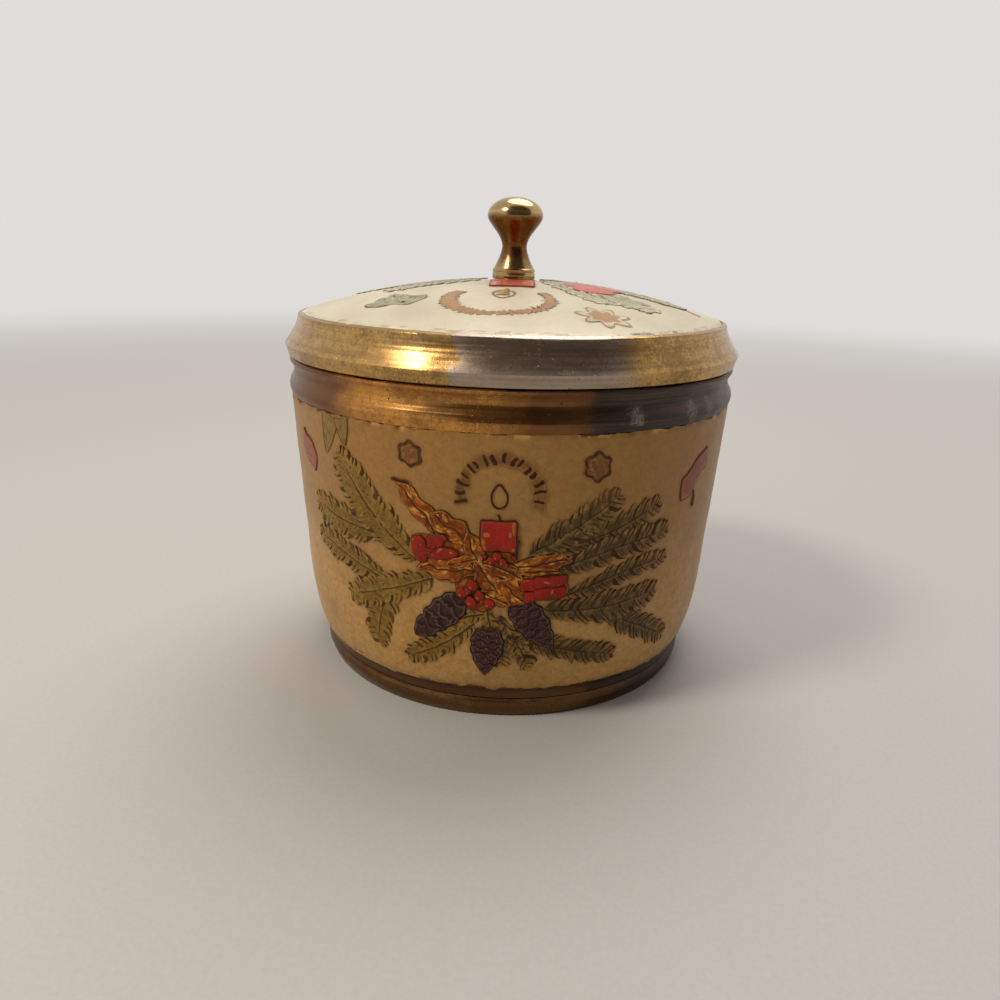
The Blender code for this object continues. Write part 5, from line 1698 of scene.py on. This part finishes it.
class CANISTER_OT_wall_ground(CanisterOperator, bpy.types.Operator):
    """Lay the cream ground of the wall, with its ragged edges, grime and painted shade"""

    bl_idname = "canister.wall_ground"
    bl_label = "Cream wall"

    def execute(self, context):
        sizes = context.scene.canister_sizes
        outer = wall_rows(BAND_TOP + RECESS, BAND_FOOT - EDGE, sizes.band_rows)
        outer[0] = (outer[0][0] - GROUND_TUCK, outer[0][1])
        outer[-1] = (outer[-1][0] - GROUND_TUCK, outer[-1][1])
        inner = [(radius - ENAMEL_DEPTH, height) for radius, height in outer[::-8]]
        inner[-1] = (outer[0][0] - ENAMEL_EDGE_DEPTH, outer[0][1])
        piece = turned("cream_wall", outer + inner, 2 * sizes.turned_steps)
        even = coordinates(piece.data)
        points = self.frayed(even)
        set_coordinates(piece.data, points)
        self.soil(piece.data, even, points, sizes.grime_reach)
        soften(piece)
        finish_piece(piece, "wall_cream", "pot", "cream_enamel", "body_enamel")
        return {"FINISHED"}

    def frayed(self, even):
        """The even ground's points with ragged edges and an uneven face."""
        points = even.copy()
        x, y, height = even.T
        radius = np.hypot(x, y)
        narrow, wide = WALL_FRAY_PITCHES
        top = smooth(height, BAND_TOP - WALL_FRAY_REACH, BAND_TOP)
        foot = fall(height, BAND_FOOT, BAND_FOOT + WALL_FRAY_REACH)
        points[:, 2] += (wobble(x, y, 21, narrow, 5) + 0.6 * wobble(x, y, 23, wide, 2)) * WALL_FRAY * (top - foot)
        dents = wobble(unrolled(even)[:, 0], points[:, 2], 33, WALL_DENT_PITCH, 3) * GROUND_DENT
        outside = smooth(radius - belly_radius(points[:, 2]), -EDGE, -NICK)
        points[:, :2] *= (1.0 + dents * outside / radius)[:, None]
        return points

    def soil(self, mesh, even, points, reach):
        """Masks of the ground's grime and painted shade round the ornament and at its top and foot, of its painted
        shade towards the top, and of the chips and of the flakes, partly painted highlights, at its edges.
        """
        x, y, even_height = even.T
        way, height = unrolled(even)[:, 0], points[:, 2]
        foot = fall(even_height, BAND_FOOT, BAND_FOOT + WALL_FRAY_REACH)
        # Darker near the band's top and foot: grime, partly painted shade under the brass beside it.
        border = np.maximum(smooth(height, BAND_TOP - WALL_EDGE_DARKENING_REACH, BAND_TOP), foot)
        border *= 0.5 + 0.5 * wobble(way, height, 41, WALL_PATCH_PITCH, 3)
        # Darker round the raised plates: grime, partly painted shade.
        grime = nearness(unrolled(points), unrolled(ornament_spots("pot")), reach) ** 1.4
        set_mask(mesh, "grime", np.maximum(grime, border))
        # Painted shade: the ground darker towards the top, under the lid, unevenly.
        margin = WALL_SHADE_SHARE * BAND_HEIGHT
        shade = smooth(height, BAND_FOOT + margin, BAND_TOP - margin)
        set_mask(mesh, "shade", shade + 0.25 * wobble(way, height, 45, WALL_SHADE_PITCH, 2))
        edge = smooth(height, BAND_TOP - WALL_CHIP_TOP, BAND_TOP)
        edge = np.maximum(edge, fall(height, BAND_FOOT, BAND_FOOT + WALL_CHIP_FOOT))
        chip = smooth(wobble(x, y, 43, WALL_CHIP_PITCH, 4), 0.38, 0.65)
        flake = smooth(wobble(x, y, 47, WALL_FLAKE_PITCH, 4), 0.35, 0.65)
        set_mask(mesh, "chip", chip * edge * 0.85)
        set_mask(mesh, "flake", flake * edge * (1 - chip) * 0.8)


class CANISTER_OT_lid_brass(CanisterOperator, bpy.types.Operator):
    """Spin the lid's brass shell and its collar"""

    bl_idname = "canister.lid_brass"
    bl_label = "Lid brass"

    def execute(self, context):
        shell = spun_brass("lid_dome", self.shell_profile(), 17, SKIRT_ZONES, 7)
        soften(shell)
        finish_piece(shell, "spun_brass_lid", "lid", "spun_brass", "lid_shell")
        ring = turned("lid_collar_ring", self.collar_profile(), 192)
        soften(ring)
        finish_piece(ring, "inner_brass", "lid", "dark_brass", "lid_collar")
        return {"FINISHED"}

    def shell_profile(self):
        """Out from the screw's hole over the dome, down the skirt to the lip, and back along the inside."""
        seat = dome_rows(SCREW_HOLE_RADIUS, SCREW_HOLE_RADIUS, 1)
        seat += [(LID_HOLE_RADIUS - EDGE, float(dome_height(LID_HOLE_RADIUS)))]
        dome = dome_rows(LID_HOLE_RADIUS, LID_ENAMEL_RADIUS + LAP, 20, RECESS)
        ledge = LID_ENAMEL_RADIUS + RECESS
        crease = (CREASE_RADIUS, CREASE_HEIGHT + LAP)
        lip = (LIP_RADIUS, LIP_HEIGHT + CORNER)
        shoulder = (SHOULDER_RADIUS, SHOULDER_HEIGHT)
        skirt = rows_between((ledge, float(dome_height(ledge))), (DOME_RADIUS - CORNER, DOME_FOOT), 4)
        skirt += rows_between((DOME_RADIUS, DOME_FOOT - CORNER), shoulder, 12, -SHOULDER_HOLLOW)
        skirt += rows_between(shoulder, crease, 22, -SKIRT_HOLLOW)
        skirt += rows_between((CREASE_RADIUS, CREASE_HEIGHT - NICK), lip, 14, -LIP_HOLLOW)
        skirt += [(LIP_RADIUS - EDGE, LIP_HEIGHT)]
        corners = ((LIP_RADIUS, LIP_HEIGHT), (CREASE_RADIUS, CREASE_HEIGHT), shoulder)
        under = [(radius - SHEET_THICKNESS, height) for radius, height in corners]
        inner = DOME_CURVE - SHEET_THICKNESS
        under += dome_rows(DOME_RADIUS - SHEET_THICKNESS, SCREW_HOLE_RADIUS, 14, curve=inner)
        return seat + dome + skirt + under

    def collar_profile(self):
        radius, foot, top = COLLAR_HIGH.x, COLLAR_LOW.z, COLLAR_HIGH.z
        bore = radius - COLLAR_THICKNESS
        rows = rows_between((radius - EDGE, top), (radius, top - EDGE), 3)
        rows += rows_between((radius, top - RECESS), (radius, foot + EDGE), 10)
        return rows + [(radius - EDGE, foot), (bore, foot), (bore, top)]


# Part of the knob painted with a dark red-brown reflection: from below its widest place to above it, and from
# above its foot
KNOB_REFLECTION_BELOW = 1.5 * MM
KNOB_REFLECTION_ABOVE = 2.5 * MM
KNOB_REFLECTION_FOOT = 2.0 * MM


class CANISTER_OT_knob(CanisterOperator, bpy.types.Operator):
    """Turn the knob, and give its screw and washer their finish"""

    bl_idname = "canister.knob"
    bl_label = "Knob"

    def execute(self, context):
        foot = KNOB_LOW.z
        widest = foot + KNOB_WIDEST
        piece = turned("turned_knob", self.profile(), 128, closed=False)
        height = coordinates(piece.data)[:, 2]
        # Painted dark red-brown reflection round the knob's neck, laid in the zones mask.
        brown = fall(height, widest - KNOB_REFLECTION_BELOW, widest + KNOB_REFLECTION_ABOVE)
        brown *= 0.55 + 0.45 * smooth(height, foot + KNOB_REFLECTION_FOOT, foot + KNOB_NECK)
        set_mask(piece.data, "tarnish", 0.48 * brown)
        soften(piece)
        finish_piece(piece, "turned_brass_knob", "lid", "knob_brass", "knob")
        for name in ("knob_washer", "knob_screw"):
            dress(frame["nodes"][name], "inner_brass")
        return {"FINISHED"}

    def profile(self):
        """From the top over the head, down the neck and its ring, and up the bore to its tip."""
        foot, top, radius = KNOB_LOW.z, KNOB_HIGH.z, KNOB_HIGH.x
        widest, neck, ring = foot + KNOB_WIDEST, foot + KNOB_NECK, foot + KNOB_RING
        waist = KNOB_WAIST_RADIUS
        rows = [(0.0, top)]
        for degrees in np.linspace(4, 84, 18):
            turn = math.radians(degrees)
            rows.append((radius * math.sin(turn), widest + (top - widest) * math.cos(turn)))
        rows.append((radius, widest + NICK))
        for share in np.linspace(0.0, 1.0, 26):
            ease = (1.0 + math.cos(math.pi * share**0.85)) / 2.0
            rows.append((waist + (radius - waist) * ease, widest - NICK + (neck - widest) * share))
        for share in np.linspace(0.08, 1.0, 14):
            flare = waist + (KNOB_FLARE_RADIUS - waist) * share**1.5
            rows.append((flare, neck - NICK + (ring + LAP - neck) * share))
        rows += [(out * MM, ring - drop * MM) for out, drop in KNOB_RING_POINTS]
        rows += [(KNOB_RING_RADIUS, foot + COVE_DROP), (KNOB_FOOT_RADIUS, foot), (SCREW_HOLE_RADIUS, foot)]
        return rows + [(SCREW_HOLE_RADIUS, foot + KNOB_BORE_DEPTH), (0.0, foot + KNOB_BORE_TIP)]


class CANISTER_OT_lid_picture(CanisterOperator, bpy.types.Operator):
    """Lay the ornament of the lid: candle, glow, boughs, star, leaf and cone"""

    bl_idname = "canister.lid_picture"
    bl_label = "Lid picture"

    def execute(self, context):
        for name, cell in LID_CELL_SHARES.items():
            lay_cell(name, "", cell, on_lid, LID_ENAMEL_RADIUS, 0.0, "lid")
        flame = marks(LID_MARK_SHARES, on_lid, LID_ENAMEL_RADIUS, 0.0)
        join_plates("engraved_lid_flame", flame, "lid_brown", "lid", SLOTS["lid_brown"])
        return {"FINISHED"}


# Unevenness of the lid's cream ground: depths, places in from its edge, and pitches
LID_FRAY = 0.45 * MM
LID_FRAY_REACH = 2.5 * MM
LID_RIM = (1.2 * MM, 0.3 * MM)
LID_CRACK_INSET = 0.8 * MM
LID_CRACK_WIDTH = 0.6 * MM
LID_FRAY_PITCH = 6 * MM
LID_DENT_PITCH = 15 * MM
LID_SHADE_PITCH = 28 * MM
LID_CHIP_PITCH = 14 * MM
LID_FLAKE_PITCH = 18 * MM
LID_CRACK_PITCH = 16 * MM


class CANISTER_OT_lid_ground(CanisterOperator, bpy.types.Operator):
    """Lay the cream ground of the lid, chipped round its edge"""

    bl_idname = "canister.lid_ground"
    bl_label = "Cream lid"

    def execute(self, context):
        outer = dome_rows(LID_HOLE_RADIUS - LAP, LID_ENAMEL_RADIUS + LAP, 80)
        outer[-1] = (outer[-1][0], outer[-1][1] - CORNER)
        inner = [(radius, height - ENAMEL_DEPTH) for radius, height in outer[::-8]]
        inner[-1] = (outer[0][0], outer[0][1] - ENAMEL_DEPTH)
        piece = turned("cream_lid", outer + inner, 600)
        points = coordinates(piece.data)
        x, y = points[:, :2].T.copy()
        radius = np.hypot(x, y)
        ragged = wobble(x, y, 51, LID_FRAY_PITCH, 5) * LID_FRAY
        edge = smooth(radius, LID_ENAMEL_RADIUS - LID_FRAY_REACH, LID_ENAMEL_RADIUS)
        points[:, :2] *= (1.0 + ragged * edge / radius)[:, None]
        points[:, 2] += wobble(x, y, 53, LID_DENT_PITCH, 3) * GROUND_DENT * (1 - edge)
        set_coordinates(piece.data, points)
        # Grime round the ornament, partly painted shade round the raised plates.
        reach = context.scene.canister_sizes.grime_reach
        grime = nearness(points[:, :2], ornament_spots("lid")[:, :2], reach)
        set_mask(piece.data, "grime", grime**1.6 * 0.6)
        self.chip(piece.data, x, y, LID_ENAMEL_RADIUS - radius, ragged)
        soften(piece)
        finish_piece(piece, "lid_cream", "lid", "cream_enamel", "lid_enamel")
        return {"FINISHED"}

    def chip(self, mesh, x, y, inward, ragged):
        """Masks of the ground's shade, and of the chips, the crack and the flakes round its edge; the pale flakes
        are partly painted highlights.
        """
        set_mask(mesh, "shade", 0.3 + 0.5 * wobble(x, y, 55, LID_SHADE_PITCH, 2))
        rim = smooth(-inward, -LID_RIM[0], -LID_RIM[1])
        chip = smooth(wobble(x, y, 57, LID_CHIP_PITCH, 4), 0.55, 0.85)
        flake = smooth(wobble(x, y, 59, LID_FLAKE_PITCH, 4), 0.15, 0.6)
        crack = line_mask(np.abs(LID_CRACK_INSET + ragged - inward), LID_CRACK_WIDTH)
        crack *= smooth(wobble(x, y, 61, LID_CRACK_PITCH, 4), -0.05, 0.25)
        set_mask(mesh, "chip", np.maximum(chip * rim * 0.8, crack * 0.4))
        set_mask(mesh, "flake", flake * rim * (1 - chip))


# The stage: colours in linear light, and lengths in metres
BACKGROUND = (0.74, 0.72, 0.705, 1.0)
FLOOR_RADIUS = 3.0
FLOOR_COLOURS = ((0.52, 0.52, 0.525, 1.0), (0.60, 0.595, 0.59, 1.0))
FLOOR_MELT = (0.35, 1.3)
DIM_SIDE = (0.25, -0.80, 0.54)
DIM_COLOUR = (0.10, 0.075, 0.060, 1.0)
SIDE_LIGHTS = ((0.50, 0.455, 0.395, 1.0), (0.165, 0.148, 0.126, 1.0))
# Lamps: place, size, power and colour
LAMPS = {
    "key_lamp": ((-0.62, -0.40, 0.88), 0.26, 4.6, (1.0, 0.90, 0.75)),
    "top_lamp": ((0.15, 0.45, 1.00), 0.80, 6.6, (1.0, 0.96, 0.90)),
}
LAMP_AIM = (0.0, 0.0, 0.06)
CAMERA_PLACE = (4.6 * MM, -235.0 * MM, 116.9 * MM)
CAMERA_PITCH = math.radians(17.77)
CAMERA_YAW = math.radians(-1.61)
CAMERA_ROLL = math.radians(1.66)
CAMERA_LENS = 28.8
CAMERA_SENSOR = 36.0
CAMERA_NEAREST = 0.01


class CANISTER_OT_stage(CanisterOperator, bpy.types.Operator):
    """Set the pale floor, the soft lights and the camera"""

    bl_idname = "canister.stage"
    bl_label = "Stage"

    def execute(self, context):
        deselect_all()
        bpy.ops.mesh.primitive_circle_add(vertices=96, radius=FLOOR_RADIUS, fill_type="NGON")
        floor = bpy.context.object
        floor.name = "floor"
        floor.data.materials.append(self.floor_material())
        self.light_world(context)
        for name, settings in LAMPS.items():
            self.place_lamp(name, *settings)
        self.place_camera(context)
        context.scene.view_settings.view_transform = "Standard"
        return {"FINISHED"}

    def seen_rays(self, n):
        """1 for rays that show the background: from the camera, or mirrored or let through by a surface."""
        path = n.add("LightPath", {})
        return n.larger(n.larger(path["Is Camera Ray"], path["Is Glossy Ray"]), path["Is Transmission Ray"])

    def floor_material(self):
        """A pale floor that melts into the background far from the canister."""
        material, n, surface = new_material("pale_floor")
        place = n.place()
        first, second = FLOOR_COLOURS
        colour = n.layers(first, (n.noise(place, 900.0), second))
        n.fill(surface, {"Base Color": colour, "Roughness": 0.85})
        far = n.times(n.band(n.vector("LENGTH", place)["Value"], *FLOOR_MELT), self.seen_rays(n))
        glow = n.add("Emission", {"Color": BACKGROUND, "Strength": 1.0})[0]
        mixed = n.add("MixShader", {0: far, 1: surface.outputs[0], 2: glow})[0]
        n.fill(n.tree.nodes["Material Output"], {"Surface": mixed})
        return material

    def light_world(self, context):
        """Even studio light with a dim side in front and above, which polished brass mirrors."""
        world = bpy.data.worlds.new("studio")
        context.scene.world = world
        world.use_nodes = True
        n = Nodes(world.node_tree)
        direction = n.add("TexCoord", {})["Generated"]
        dim = n.band(n.vector("DOT_PRODUCT", direction, DIM_SIDE)["Value"], 0.55, 0.72)
        seen = self.seen_rays(n)
        mirrored = n.layers(BACKGROUND, (dim, DIM_COLOUR))
        left, right = SIDE_LIGHTS
        diffuse = n.layers(left, (n.band(n.add("SeparateXYZ", {0: direction})[0], -0.7, 0.8), right))
        light = n.layers(diffuse, (seen, mirrored))
        n.fill(n.tree.nodes["Background"], {"Color": light, "Strength": 1.0})

    def place_lamp(self, name, place, size, power, colour):
        deselect_all()
        bpy.ops.object.light_add(type="AREA", location=place)
        lamp = bpy.context.object
        lamp.name = name
        lamp.data.shape = "DISK"
        lamp.data.size = size
        lamp.data.energy = power
        lamp.data.color = colour
        aim = Vector(LAMP_AIM) - Vector(place)
        lamp.rotation_euler = aim.to_track_quat("-Z", "Y").to_euler()

    def place_camera(self, context):
        pitch, yaw, roll = CAMERA_PITCH, CAMERA_YAW, CAMERA_ROLL
        deselect_all()
        bpy.ops.object.camera_add(location=CAMERA_PLACE)
        camera = bpy.context.object
        camera.name = "camera"
        forward = Vector((math.sin(yaw) * math.cos(pitch), math.cos(yaw) * math.cos(pitch), -math.sin(pitch)))
        right = Vector((math.cos(yaw), -math.sin(yaw), 0.0))
        upward = right.cross(forward)
        level = right * math.cos(roll) + upward * math.sin(roll)
        upright = upward * math.cos(roll) - right * math.sin(roll)
        camera.rotation_euler = Matrix((level, upright, -forward)).transposed().to_euler()
        camera.data.sensor_width = CAMERA_SENSOR
        camera.data.lens = CAMERA_LENS
        camera.data.clip_start = CAMERA_NEAREST
        context.scene.camera = camera


class CANISTER_PT_panel(bpy.types.Panel):
    """The canister's pieces, in the order they are made"""

    bl_idname = "CANISTER_PT_panel"
    bl_label = "Cloisonne canister"
    bl_space_type = "VIEW_3D"
    bl_region_type = "UI"
    bl_category = "Canister"

    def draw(self, context):
        for maker in OPERATORS:
            self.layout.operator(maker.bl_idname)
        for settings in (context.scene.canister_sizes, context.scene.canister_colours):
            for name in settings.__annotations__:
                self.layout.prop(settings, name)


OPERATORS = (
    CANISTER_OT_pot_brass,
    CANISTER_OT_wall_boughs,
    CANISTER_OT_wall_cones,
    CANISTER_OT_wall_holly,
    CANISTER_OT_wall_candle,
    CANISTER_OT_wall_marks,
    CANISTER_OT_wall_ground,
    CANISTER_OT_lid_brass,
    CANISTER_OT_knob,
    CANISTER_OT_lid_picture,
    CANISTER_OT_lid_ground,
    CANISTER_OT_stage,
)


def register():
    for made in (CanisterSizes, CanisterColours, *OPERATORS, CANISTER_PT_panel):
        bpy.utils.register_class(made)
    bpy.types.Scene.canister_sizes = PointerProperty(type=CanisterSizes)
    bpy.types.Scene.canister_colours = PointerProperty(type=CanisterColours)


def unregister():
    del bpy.types.Scene.canister_sizes
    del bpy.types.Scene.canister_colours
    for made in (CANISTER_PT_panel, *reversed(OPERATORS), CanisterColours, CanisterSizes):
        bpy.utils.unregister_class(made)


def main():
    register()
    bpy.ops.canister.pot_brass()
    bpy.ops.canister.wall_boughs()
    bpy.ops.canister.wall_cones()
    bpy.ops.canister.wall_holly()
    bpy.ops.canister.wall_candle()
    bpy.ops.canister.wall_marks()
    bpy.ops.canister.wall_ground()
    bpy.ops.canister.lid_brass()
    bpy.ops.canister.knob()
    bpy.ops.canister.lid_picture()
    bpy.ops.canister.lid_ground()
    bpy.ops.canister.stage()


if __name__ == "__main__":
    main()
